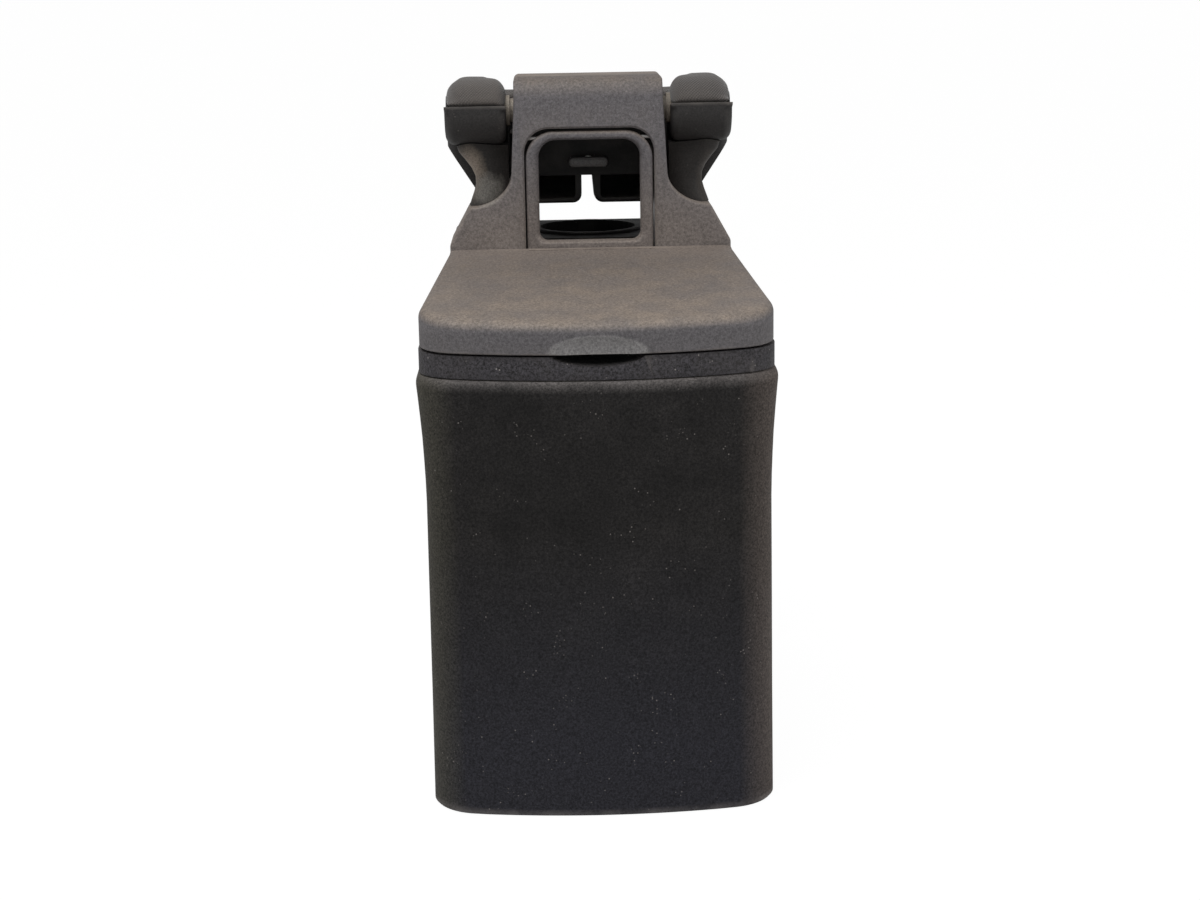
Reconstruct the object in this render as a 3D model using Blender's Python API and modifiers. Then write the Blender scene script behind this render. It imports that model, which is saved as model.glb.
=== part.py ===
"""Centre console armrest: storage bin with a hinged lid, a column with a window, two folding arms.

Metres, +Z up. The bin's big face looks along -Y and the arms run towards +Y.
Shapes are written with distances back from the foremost point of the bin face,
and every object is then moved so that the middle of the whole stands on the origin.
"""

from math import acos, atan2, cos, pi, radians, sin, tan

import bmesh
import bpy
from mathutils import Matrix, Vector

# Lower body
RIM_WIDTH = 0.2325
FOOT_WIDTH = 0.2236
BODY_DEPTH = 0.345
RIM_HEIGHT = 0.286
FRONT_BOW = 0.020
FRONT_CORNER = 0.036
REAR_CORNER = 0.020
HOUSING_WALL = 0.003
SEAT_GAP = 0.0004
RIM_EDGE = 0.0016
CUT_PAST = 0.01

# Collar between the housing and what stands on it
COLLAR_INSET = 0.003
COLLAR_HEIGHT = 0.0146
COLLAR_LEDGE = 0.005
COLLAR_REAR = 0.018

# Storage bin
BIN_WIDTH = 0.176
BIN_FRONT = 0.031
BIN_BACK = 0.168
BIN_DEPTH = 0.236
BIN_WALL = 0.0022
BIN_FLANGE = 0.004
BIN_CORNER = 0.014
BIN_RIM = 0.0014

# Column and shoulders
COLUMN_FRONT = 0.182
COLUMN_DEPTH = 0.048
COLUMN_TOP = 0.4612
NECK_TOP_WIDTH = 0.1018
NECK_FOOT_WIDTH = 0.1070
SHOULDER_WIDTH = 0.194
RIM_LINE_WIDTH = 0.166
SHOULDER_EDGE = 0.3480
SHOULDER_TOP = 0.3733
FLARE_TOP = 0.3970
CROWN_DROP = 0.014
CROWN_ROUND = 0.008
RIM_ROUND = 0.004
COVER_WALL = 0.0026
COVER_EDGE = 0.0015
PANEL_THICKNESS = 0.0028
PANEL_GAP = 0.0005
PASSAGE_SILL_DROP = 0.0050
PASSAGE_HEAD = 0.3900
PASSAGE_ROUND = 0.006
STEM_HOLE = 0.0034
PANEL_SCREWS_HIGH = (0.030, 0.447)
PANEL_SCREWS_LOW = (0.062, 0.357)

# Lid and its tongue
LID_WIDTH = 0.2306
LID_REAR_WIDTH = 0.1936
LID_REAR_GAP = 0.001
LID_FRONT_INSET = 0.0015
LID_LOWER_GAP = 0.0014
LID_FRONT_HEIGHT = 0.0190
LID_REAR_HEIGHT = 0.0425
LID_WALL = 0.003
LID_LIP = 0.011
BUFFER_BEHIND_LIP = 0.021
BUFFER_SHARE = 0.23
TONGUE_WIDTH = 0.0870
TONGUE_TOP = 0.4243
TONGUE_DEPTH = 0.009
TONGUE_CORNER = 0.018
TONGUE_GAP = 0.0012
ARCH_HEAD_GAP = 0.0016
ARCH_CORNER = 0.0140
ARCH_SILL_DROP = 0.0085
SMALL_ROUND = 0.002
WINDOW_WIDTH = 0.0696
WINDOW_LOW = 0.3494
WINDOW_HIGH = 0.4183
WINDOW_CORNER = 0.008
GRIP_WIDTH = 0.060
GRIP_HEIGHT = 0.0120
GRIP_DEPTH = 0.0075
GRIP_BELOW = 0.0056
LID_EDGE = 0.004
LID_CORNER = 0.004
TONGUE_EDGE = 0.0028
TONGUE_SILL_DROP = 0.0065
LID_PANEL_RISE = 0.0032
LID_PANEL = 0.0022
LID_BOSS_SIDE = 0.070
LID_BOSS_BACKS = (0.036, 0.150)
LID_BOSS_RADIUS = 0.004
PIN_RADIUS = 0.0018
PIN_INNER = 0.0300

# Pivot of the arms
PIVOT_SET_BACK = 0.021
PIVOT_HEIGHT = 0.438
TUBE_RADIUS = 0.0080
TUBE_WALL = 0.0015
TUBE_END_IN = 0.0034
TUBE_HOLE_GAP = 0.0008
BUSH_WALL = 0.0020
RUN_GAP = 0.0003
SUPPORT_IN = 0.0055
SUPPORT_TAPER = 0.0135
SUPPORT_NECK_RISE = 0.0105
SUPPORT_DROP = 0.026
SUPPORT_SET_BACK = 0.007
SUPPORT_BEHIND = 0.006
CRADLE_GAP = 0.0008

# Arms, measured from the pivot
NOSE_RADIUS = 0.023
ARM_INNER = 0.0550
ARM_OUTER = 0.0970
ARM_MIDDLE_GAP = 0.0090
ARM_REACH = 0.212
ARM_STEP = 0.044
SEAM_AT_NOSE = 0.0045
SEAM_SLOPE = 0.147
PAD_DIP = 0.0085
PAD_END_HEIGHT = -0.010
BELLY_DEPTH = 0.072
BELLY_END = 0.075
TIP_DEPTH = 0.052
SHELL_WALL = 0.003
TAPER_START = 0.026
TAPER_SLOPE = 0.52
PAD_EDGE = 0.004
PAD_DIP_BEHIND = 0.006
PAD_DIP_ROUND = 0.030
PAD_END_ROUND = 0.010
PAD_SEAM_ROUND = 0.002
NOTCH_BEFORE = 0.103
STEP_RISE = 0.002
STEP_ROUND = 0.008
BELLY_ROUND = 0.030
TIP_ROUND = 0.012
BARREL_WALL = 0.006
BARREL_END_IN = 0.0002
ROOM_TOP = 0.030
ROOM_FLOOR_RISE = 0.001
ROOM_TIP_BACK = 0.008
ROOM_TIP_RISE = 0.012
FLANK_BACK = 0.0285
FLANK_DROP = 0.036
MOUTH_SIDE_IN = 0.0015
MOUTH_TOP_DROP = 0.016
ARM_STRIP = 0.0024
ARM_STRIP_LEG = 0.014
ARM_STRIP_BEHIND = 0.006
ARM_STRIP_SHORT = 0.030
ARM_SCREW_SIDE = 0.050
ARM_SCREW_BACKS = (0.095, 0.170)
CAP_PROUD = 0.0006
CAP_IN = 0.0028

# Rear deck and cup
DECK_HEIGHT = 0.345
DECK_WALL = 0.0025
CUP_BACK = 0.2855
CUP_RADIUS = 0.0365
CUP_WALL = 0.0016
CUP_FLANGE = 0.003
CUP_DEPTH = 0.060
CUP_FLOOR_ROUND = 0.003
CUP_MAT = 0.002

# Steel parts and fastenings
PLATE_THICKNESS = 0.0025
BASE_MARGIN = 0.0190
BASE_CORNER = 0.010
BASE_SCREW_IN = 0.012
FRAME_SPREAD = 0.0900
FRAME_STEP = 0.008
FRAME_OVER_TUBE = 0.006
WELD_IN = 0.0005
SCREW_RADIUS = 0.0034
SCREW_HEIGHT = 0.0018

# Release bar inside the window
BAR_WIDTH = 0.0275
BAR_HEIGHT = 0.0070
BAR_CENTRE = 0.4000
BAR_TRAVEL = 0.0025
BAR_STAND_OFF = 0.0038
BAR_DEPTH = 0.006
BAR_ROUND = 0.003
SPRING_WIRE = 0.0004

# Values that follow
PIVOT_BACK = COLUMN_FRONT + PIVOT_SET_BACK
TOTAL_DEPTH = PIVOT_BACK + ARM_REACH
COLLAR_LOW = RIM_HEIGHT + SEAT_GAP
COLLAR_TOP = COLLAR_LOW + COLLAR_HEIGHT
COLUMN_BACK = COLUMN_FRONT + COLUMN_DEPTH
COVER_LOW = COLLAR_TOP + SEAT_GAP
LID_REAR = COLUMN_FRONT - LID_REAR_GAP
LID_LOW = COLLAR_TOP + LID_LOWER_GAP
LID_AXIS_BACK = COLUMN_FRONT + TONGUE_DEPTH / 2
LID_AXIS_HEIGHT = TONGUE_TOP - TONGUE_DEPTH / 2
DECK_FRONT = COLUMN_BACK + SEAT_GAP
DECK_BACK = BODY_DEPTH - COLLAR_INSET - 0.002
BUSH_RADIUS = TUBE_RADIUS + RUN_GAP + BUSH_WALL
BORE_RADIUS = BUSH_RADIUS + RUN_GAP
BARREL_RADIUS = BORE_RADIUS + BARREL_WALL
PANEL_FRONT = COLUMN_BACK - PANEL_THICKNESS - 0.0004
FLOOR_TOP = HOUSING_WALL + SEAT_GAP + PLATE_THICKNESS
STEP_BACK = PIVOT_BACK + ARM_STEP


def clear_scene():
    """Start from nothing."""
    for thing in list(bpy.data.objects):
        bpy.data.objects.remove(thing, do_unlink=True)


clear_scene()
parts = bpy.data.collections.new("car_armrest")
cutters = bpy.data.collections.new("cutters")
bpy.context.scene.collection.children.link(parts)
bpy.context.scene.collection.children.link(cutters)


def material(name, colour, roughness, metallic=0.0):
    """A plain Principled material."""
    made = bpy.data.materials.new(name)
    made.use_nodes = True
    shader = made.node_tree.nodes["Principled BSDF"]
    shader.inputs["Base Color"].default_value = (*colour, 1.0)
    shader.inputs["Roughness"].default_value = roughness
    shader.inputs["Metallic"].default_value = metallic
    made.diffuse_color = (*colour, 1.0)
    return made


BLACK_PLASTIC = material("black_plastic", (0.035, 0.034, 0.036), 0.55)
BROWN_PLASTIC = material("brown_plastic", (0.150, 0.135, 0.125), 0.50)
DARK_PLASTIC = material("dark_plastic", (0.020, 0.020, 0.022), 0.60)
FABRIC = material("fabric", (0.110, 0.095, 0.085), 0.90)
STEEL = material("steel", (0.420, 0.420, 0.430), 0.40, 1.0)
ZINC_STEEL = material("zinc_steel", (0.520, 0.480, 0.400), 0.35, 1.0)
RUBBER = material("rubber", (0.020, 0.020, 0.020), 0.80)


# Outlines

def rounded(corners, steps=5):
    """Points of an outline through corners (x, y, radius), the round ones turned as arcs."""
    points = []
    for index, (x, y, radius) in enumerate(corners):
        here = Vector((x, y))
        if radius <= 0:
            points.append((x, y))
            continue
        before = (Vector(corners[index - 1][:2]) - here).normalized()
        after = (Vector(corners[(index + 1) % len(corners)][:2]) - here).normalized()
        half = acos(max(-1.0, min(1.0, before.dot(after)))) / 2
        centre = here + (before + after).normalized() * (radius / sin(half))
        start = here + before * (radius / tan(half)) - centre
        end = here + after * (radius / tan(half)) - centre
        first = atan2(start.y, start.x)
        turn = (atan2(end.y, end.x) - first + pi) % (2 * pi) - pi
        for step in range(steps + 1):
            angle = first + turn * step / steps
            points.append((centre.x + radius * cos(angle), centre.y + radius * sin(angle)))
    return points


def arc(centre, radius, start, end, steps):
    """Points on a circle from one angle to another, in degrees."""
    angles = [radians(start + (end - start) * step / steps) for step in range(steps + 1)]
    return [(centre[0] + radius * cos(angle), centre[1] + radius * sin(angle)) for angle in angles]


def circle(centre, radius, steps=28):
    """A full circle."""
    return arc(centre, radius, 0, 360, steps)[:-1]


def body_plan(front_half, rear_half, front, rear, front_corner, rear_corner, bow_steps=8):
    """A plan with a bowed front edge between round corners."""
    straight = front_half - front_corner
    across = [straight * (2 * step / bow_steps - 1) for step in range(bow_steps + 1)]
    bow = [(x, front + FRONT_BOW * (x / front_half) ** 2, 0) for x in across]
    corners = [(-rear_half, rear, rear_corner), (-front_half, front + FRONT_BOW, front_corner * 0.9)]
    corners += bow
    corners += [(front_half, front + FRONT_BOW, front_corner * 0.9), (rear_half, rear, rear_corner)]
    return rounded(corners)


def cover_front(inset, low):
    """The column and its shoulders seen from the front, drawn in by an inset."""
    top = COLUMN_TOP - inset
    crown = NECK_TOP_WIDTH / 2 - inset
    foot = NECK_FOOT_WIDTH / 2 - inset
    rim = RIM_LINE_WIDTH / 2 - inset * 0.6
    edge = SHOULDER_WIDTH / 2 - inset
    drop = FLARE_TOP - SHOULDER_TOP
    flare = []
    for step in range(1, 7):
        angle = pi / 2 * step / 7
        flare.append((rim + (foot - rim) * cos(angle), FLARE_TOP - inset - drop * sin(angle), 0))
    half = [(edge, low, 0), (edge, SHOULDER_EDGE - inset, RIM_ROUND), (rim, SHOULDER_TOP - inset, RIM_ROUND)]
    half += list(reversed(flare))
    half += [(foot, FLARE_TOP - inset, 0), (crown, top - CROWN_DROP, 0), (crown, top, CROWN_ROUND)]
    return rounded(half + [(-x, z, radius) for x, z, radius in reversed(half)], 4)


# Solids

def finish_mesh(name, shape, look):
    """Turn a bmesh into a part object with its material."""
    bmesh.ops.recalc_face_normals(shape, faces=shape.faces)
    mesh = bpy.data.meshes.new(name)
    shape.to_mesh(mesh)
    shape.free()
    if look:
        mesh.materials.append(look)
    made = bpy.data.objects.new(name, mesh)
    made.location = (0, -TOTAL_DEPTH / 2, 0)
    (parts if look else cutters).objects.link(made)
    if not look:
        made.hide_render = True
        made.display_type = "WIRE"
    return made


def slab(name, look, outline, low, high, plane="XY", holes=()):
    """A flat outline with a thickness. The plane names the outline's own two axes."""
    curve = bpy.data.curves.new(name, "CURVE")
    curve.dimensions = "2D"
    curve.fill_mode = "BOTH"
    curve.extrude = (high - low) / 2
    for ring in (outline, *holes):
        spline = curve.splines.new("POLY")
        spline.points.add(len(ring) - 1)
        for point, (x, y) in zip(spline.points, ring):
            point.co = (x, y, 0, 1)
        spline.use_cyclic_u = True
    guide = bpy.data.objects.new(name + "_outline", curve)
    cutters.objects.link(guide)
    bpy.context.view_layer.update()
    flat = bpy.data.meshes.new_from_object(guide.evaluated_get(bpy.context.evaluated_depsgraph_get()))
    shape = bmesh.new()
    shape.from_mesh(flat)
    bpy.data.objects.remove(guide, do_unlink=True)
    bpy.data.curves.remove(curve)
    bpy.data.meshes.remove(flat)
    bmesh.ops.remove_doubles(shape, verts=shape.verts, dist=0.00001)
    bmesh.ops.dissolve_limit(shape, angle_limit=0.001, verts=shape.verts, edges=shape.edges)
    middle = (low + high) / 2
    for vertex in shape.verts:
        x, y, away = vertex.co
        away += middle
        vertex.co = {"XY": (x, y, away), "XZ": (x, away, y), "YZ": (away, x, y)}[plane]
    return finish_mesh(name, shape, look)


def block(name, look, low, high):
    """A box between two corners."""
    size = Vector(high) - Vector(low)
    middle = (Vector(high) + Vector(low)) / 2
    shape = bmesh.new()
    bmesh.ops.create_cube(shape, size=1, matrix=Matrix.Translation(middle) @ Matrix.Diagonal((*size, 1)))
    return finish_mesh(name, shape, look)


def rod(name, look, radius, start, end, steps=20):
    """A round bar from one point to another."""
    start, end = Vector(start), Vector(end)
    turn = (end - start).to_track_quat("Z", "Y").to_matrix().to_4x4()
    place = Matrix.Translation((start + end) / 2) @ turn
    shape = bmesh.new()
    bmesh.ops.create_cone(shape, cap_ends=True, segments=steps, radius1=radius, radius2=radius,
                          depth=(end - start).length, matrix=place)
    return finish_mesh(name, shape, look)


def egg(name, centre, half_sizes):
    """A stretched ball, used as a cutter."""
    shape = bmesh.new()
    place = Matrix.Translation(centre) @ Matrix.Diagonal((*half_sizes, 1))
    bmesh.ops.create_uvsphere(shape, u_segments=28, v_segments=14, radius=1, matrix=place)
    return finish_mesh(name, shape, None)


def carve(piece, tool, operation="DIFFERENCE"):
    """Cut a tool out of a piece, or join it on."""
    change = piece.modifiers.new(tool.name, "BOOLEAN")
    change.operation = operation
    change.object = tool
    change.solver = "EXACT"


def round_edges(piece, width, steps, pick):
    """Round the sharp edges whose two ends pass a test."""
    shape = bmesh.new()
    shape.from_mesh(piece.data)
    edges = [edge for edge in shape.edges
             if edge.calc_face_angle(0) > radians(35) and all(pick(v.co) for v in edge.verts)]
    bmesh.ops.bevel(shape, geom=edges, offset=width, segments=steps, profile=0.5, affect="EDGES")
    shape.to_mesh(piece.data)
    shape.free()


def taper(piece, height, ratio):
    """Draw the vertices at and below a height together sideways."""
    for vertex in piece.data.vertices:
        if vertex.co.z <= height:
            vertex.co.x *= ratio


def turned(name, look, profile, centre, steps=32):
    """A profile turned about an upright axis. It runs down its outer side."""
    mesh = bpy.data.meshes.new(name)
    points = [(x, 0, z) for x, z in profile]
    mesh.from_pydata(points, [(i, i + 1) for i in range(len(points) - 1)], [])
    mesh.materials.append(look)
    made = bpy.data.objects.new(name, mesh)
    made.location = (centre[0], centre[1] - TOTAL_DEPTH / 2, 0)
    parts.objects.link(made)
    screw = made.modifiers.new("turn", "SCREW")
    screw.steps = steps
    screw.render_steps = steps
    screw.use_merge_vertices = True
    screw.merge_threshold = 0.00001
    return made


def row_of_rods(name, look, radius, ends, steps=16):
    """Several round bars of one kind, each in its own node."""
    return [rod(f"{name}_{index + 1}", look, radius, start, end, steps)
            for index, (start, end) in enumerate(ends)]


def axis_empty(name, back, height, pieces):
    """An empty on a joint's axis, with the pieces that move about it as its children."""
    empty = bpy.data.objects.new(name, None)
    empty.location = (0, back - TOTAL_DEPTH / 2, height)
    parts.objects.link(empty)
    for piece in pieces:
        piece.parent = empty
        piece.location = piece.location - empty.location


# Lower body

def housing_plan(inset):
    """Plan of the lower body, drawn in by an inset."""
    half = RIM_WIDTH / 2 - inset
    return body_plan(half, half, inset, BODY_DEPTH - inset, FRONT_CORNER - inset * 0.5,
                     REAR_CORNER - inset * 0.5)


def make_housing():
    """Open tub from the floor to the rim."""
    housing = slab("housing", BLACK_PLASTIC, housing_plan(0), 0, RIM_HEIGHT)
    round_edges(housing, RIM_EDGE, 2, lambda co: co.z > RIM_HEIGHT - 0.0001)
    taper(housing, 0.0001, FOOT_WIDTH / RIM_WIDTH)
    hollow = slab("housing_hollow", None, housing_plan(HOUSING_WALL), HOUSING_WALL,
                  RIM_HEIGHT + CUT_PAST)
    taper(hollow, HOUSING_WALL + 0.0001, FOOT_WIDTH / RIM_WIDTH)
    carve(housing, hollow)


def make_base():
    """Steel floor plate with its screws."""
    low = HOUSING_WALL + SEAT_GAP
    side = FOOT_WIDTH / 2 - HOUSING_WALL - BASE_MARGIN
    front = FRONT_BOW + BASE_MARGIN
    back = BODY_DEPTH - REAR_CORNER - BASE_MARGIN / 2
    corners = ((-side, front), (side, front), (side, back), (-side, back))
    plan = rounded([(x, y, BASE_CORNER) for x, y in corners], 3)
    slab("base_plate", ZINC_STEEL, plan, low, FLOOR_TOP)
    places = [(sx * (side - BASE_SCREW_IN), y) for sx in (-1, 1)
              for y in (front + BASE_SCREW_IN, back - BASE_SCREW_IN)]
    ends = [((x, y, FLOOR_TOP + SEAT_GAP), (x, y, FLOOR_TOP + SEAT_GAP + SCREW_HEIGHT * 2))
            for x, y in places]
    row_of_rods("base_screw", STEEL, SCREW_RADIUS * 1.5, ends)


def bin_plan(grow):
    """Plan of the bin's opening, grown or drawn in."""
    half = BIN_WIDTH / 2 + grow
    corner = BIN_CORNER + grow
    front, back = BIN_FRONT - grow, BIN_BACK + grow
    return rounded([(-half, front, corner), (half, front, corner), (half, back, corner), (-half, back, corner)])


def grip_cutter(name, height_above, height_below):
    """Lens-shaped finger scoop in the middle of the front edge."""
    lift = (height_above - height_below) / 2
    tall = (height_above + height_below) / 2
    centre = (0, GRIP_DEPTH * 0.1, LID_LOW + lift)
    return egg(name, centre, (GRIP_WIDTH / 2 * 1.04, GRIP_DEPTH, tall))


def make_collar():
    """Frame on the housing's rim with the bin's opening and the column's opening."""
    collar = slab("collar", DARK_PLASTIC, housing_plan(COLLAR_INSET), COLLAR_LOW, COLLAR_TOP)
    low, high = COLLAR_LOW - CUT_PAST, COLLAR_TOP + CUT_PAST
    carve(collar, slab("collar_bin_hole", None, bin_plan(0), low, high))
    half = SHOULDER_WIDTH / 2 - COLLAR_LEDGE
    front, back = COLUMN_FRONT + COLLAR_LEDGE + 0.002, BODY_DEPTH - COLLAR_INSET - COLLAR_REAR
    corners = ((-half, front), (half, front), (half, back), (-half, back))
    hole = rounded([(x, y, COLLAR_LEDGE) for x, y in corners], 3)
    carve(collar, slab("collar_column_hole", None, hole, low, high))
    carve(collar, grip_cutter("collar_scoop", GRIP_HEIGHT / 2, GRIP_BELOW))


def make_bin_liner():
    """Inner tub of the bin, hung by its flange on the collar."""
    rim = COLLAR_TOP + SEAT_GAP
    floor = rim - BIN_DEPTH
    liner = slab("bin_liner", DARK_PLASTIC, bin_plan(-SEAT_GAP), floor, rim + BIN_RIM / 2)
    flange = slab("liner_flange", None, bin_plan(BIN_FLANGE), rim, rim + BIN_RIM)
    carve(liner, flange, "UNION")
    carve(liner, slab("liner_hollow", None, bin_plan(-SEAT_GAP - BIN_WALL), floor + BIN_WALL,
                      rim + CUT_PAST))


# Column

def make_column_frame():
    """Steel portal: two uprights on a foot, carrying the pivot tube and the lid's pins."""
    low = FLOOR_TOP + SEAT_GAP
    inner = FRAME_SPREAD / 2
    outer = inner + PLATE_THICKNESS
    back = PANEL_FRONT - SEAT_GAP
    front_low, front_high = COLUMN_FRONT + FRAME_STEP, COLUMN_FRONT + COVER_WALL + SEAT_GAP
    top = PIVOT_HEIGHT + TUBE_RADIUS + FRAME_OVER_TUBE
    side = [(front_low, low), (back, low), (back, top), (front_high, top),
            (front_high, SHOULDER_EDGE), (front_low, SHOULDER_EDGE - FRAME_STEP * 1.5)]
    bore = circle((PIVOT_BACK, PIVOT_HEIGHT), TUBE_RADIUS + RUN_GAP)
    frame = slab("column_frame", STEEL, side, inner, outer, "YZ", [bore])
    other = slab("frame_left", None, side, -outer, -inner, "YZ", [bore])
    foot = block("frame_foot", None, (-outer + WELD_IN, front_low + WELD_IN, low + WELD_IN / 2),
                 (outer - WELD_IN, back - WELD_IN, low + PLATE_THICKNESS))
    carve(frame, foot, "UNION")
    carve(frame, other, "UNION")


def make_column_cover():
    """Neck and shoulders in one moulding, open at the back, with the arch for the tongue."""
    cover = slab("column_cover", BROWN_PLASTIC, cover_front(0, COVER_LOW), COLUMN_FRONT, COLUMN_BACK, "XZ")
    round_edges(cover, COVER_EDGE, 2, lambda co: co.z > SHOULDER_EDGE - 0.002)
    carve(cover, slab("cover_hollow", None, cover_front(COVER_WALL, COVER_LOW - CUT_PAST),
                      COLUMN_FRONT + COVER_WALL, COLUMN_BACK + CUT_PAST, "XZ"))
    half = TONGUE_WIDTH / 2 + TONGUE_GAP
    top = TONGUE_TOP + ARCH_HEAD_GAP
    low = DECK_HEIGHT - ARCH_SILL_DROP
    arch = rounded([(-half, low, SMALL_ROUND), (half, low, SMALL_ROUND), (half, top, ARCH_CORNER),
                    (-half, top, ARCH_CORNER)])
    carve(cover, slab("cover_arch", None, arch, COLUMN_FRONT - CUT_PAST, COLUMN_FRONT + COVER_WALL * 2.3, "XZ"))


def make_column_back():
    """Dark rear panel, the floor of the passage behind the window, and four screws."""
    half = TONGUE_WIDTH / 2 - PANEL_GAP
    sill, head = DECK_HEIGHT - PASSAGE_SILL_DROP, PASSAGE_HEAD
    hole = rounded([(-half, sill, SMALL_ROUND), (half, sill, SMALL_ROUND), (half, head, PASSAGE_ROUND),
                    (-half, head, PASSAGE_ROUND)], 3)
    panel = slab("column_back", DARK_PLASTIC, cover_front(COVER_WALL + PANEL_GAP, COVER_LOW + SEAT_GAP),
                 PANEL_FRONT, PANEL_FRONT + PANEL_THICKNESS, "XZ", [hole])
    front = COLUMN_FRONT + TONGUE_DEPTH + LID_LOWER_GAP
    floor = block("passage_floor", None, (-half, front, sill - PANEL_THICKNESS - SEAT_GAP),
                  (half, PANEL_FRONT + PANEL_THICKNESS / 3, sill - SEAT_GAP))
    carve(panel, floor, "UNION")
    carve(panel, rod("stem_hole", None, STEM_HOLE, (0, PANEL_FRONT - CUT_PAST, BAR_CENTRE),
                     (0, COLUMN_BACK + CUT_PAST, BAR_CENTRE)))
    back = PANEL_FRONT + PANEL_THICKNESS + SEAT_GAP
    places = [(sx * x, z) for x, z in (PANEL_SCREWS_HIGH, PANEL_SCREWS_LOW) for sx in (-1, 1)]
    row_of_rods("column_screw", STEEL, SCREW_RADIUS,
                [((x, back, z), (x, back + SCREW_HEIGHT, z)) for x, z in places])


def make_pivot_tube():
    """Cross tube that both arms turn on."""
    centre = (PIVOT_BACK, PIVOT_HEIGHT)
    reach = ARM_OUTER - TUBE_END_IN
    slab("pivot_tube", ZINC_STEEL, circle(centre, TUBE_RADIUS), -reach, reach, "YZ",
         [circle(centre, TUBE_RADIUS - TUBE_WALL)])
    # The cover is bored where the tube comes out at its sides.
    ring = slab("tube_hole", None, circle(centre, TUBE_RADIUS + TUBE_HOLE_GAP), -reach, reach, "YZ")
    carve(bpy.data.objects["column_cover"], ring)


def make_hub_support(side, sign):
    """Fixed bracket on the shoulder, with a cradle for the nose above it."""
    inner, outer = ARM_INNER + TONGUE_GAP / 2, ARM_OUTER - SUPPORT_IN
    neck, foot = outer - SUPPORT_TAPER, RIM_LINE_WIDTH / 2 - SUPPORT_IN
    low, top = SHOULDER_TOP + SMALL_ROUND, PIVOT_HEIGHT - NOSE_RADIUS / 2
    front = [(inner, low), (foot, low), (neck, low + SUPPORT_NECK_RISE),
             (outer, PIVOT_HEIGHT - SUPPORT_DROP), (outer, top), (inner, top)]
    if sign < 0:
        front = [(-x, z) for x, z in reversed(front)]
    support = slab("hub_support_" + side, BROWN_PLASTIC, front, COLUMN_FRONT + SUPPORT_SET_BACK,
                   PIVOT_BACK + SUPPORT_BEHIND, "XZ")
    low, high = sorted((sign * (inner - CUT_PAST), sign * (outer + CUT_PAST)))
    carve(support, slab("cradle_" + side, None,
                        circle((PIVOT_BACK, PIVOT_HEIGHT), NOSE_RADIUS + CRADLE_GAP, 48), low, high, "YZ"))
    seat = cover_front(-SEAT_GAP, COVER_LOW)
    carve(support, slab("shoulder_seat_" + side, None, seat, COLUMN_FRONT - CUT_PAST,
                        COLUMN_BACK + CUT_PAST, "XZ"))


# Lid

def lid_plan(side_inset, front_inset, rear_inset):
    """Plan of the lid, drawn in from its edges."""
    return body_plan(LID_WIDTH / 2 - side_inset, LID_REAR_WIDTH / 2 - side_inset,
                     LID_FRONT_INSET + front_inset, LID_REAR - rear_inset,
                     FRONT_CORNER - side_inset, LID_CORNER)


def lid_height(back):
    """Height of the lid's top surface at a distance back."""
    rise = (LID_REAR_HEIGHT - LID_FRONT_HEIGHT) * back / LID_REAR
    return LID_LOW + LID_FRONT_HEIGHT + rise


def slope_top(piece, above, drop):
    """Lay the vertices above a height on the lid's sloping top, lowered by a drop."""
    for vertex in piece.data.vertices:
        if vertex.co.z > above:
            vertex.co.z = lid_height(vertex.co.y) - drop


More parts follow.
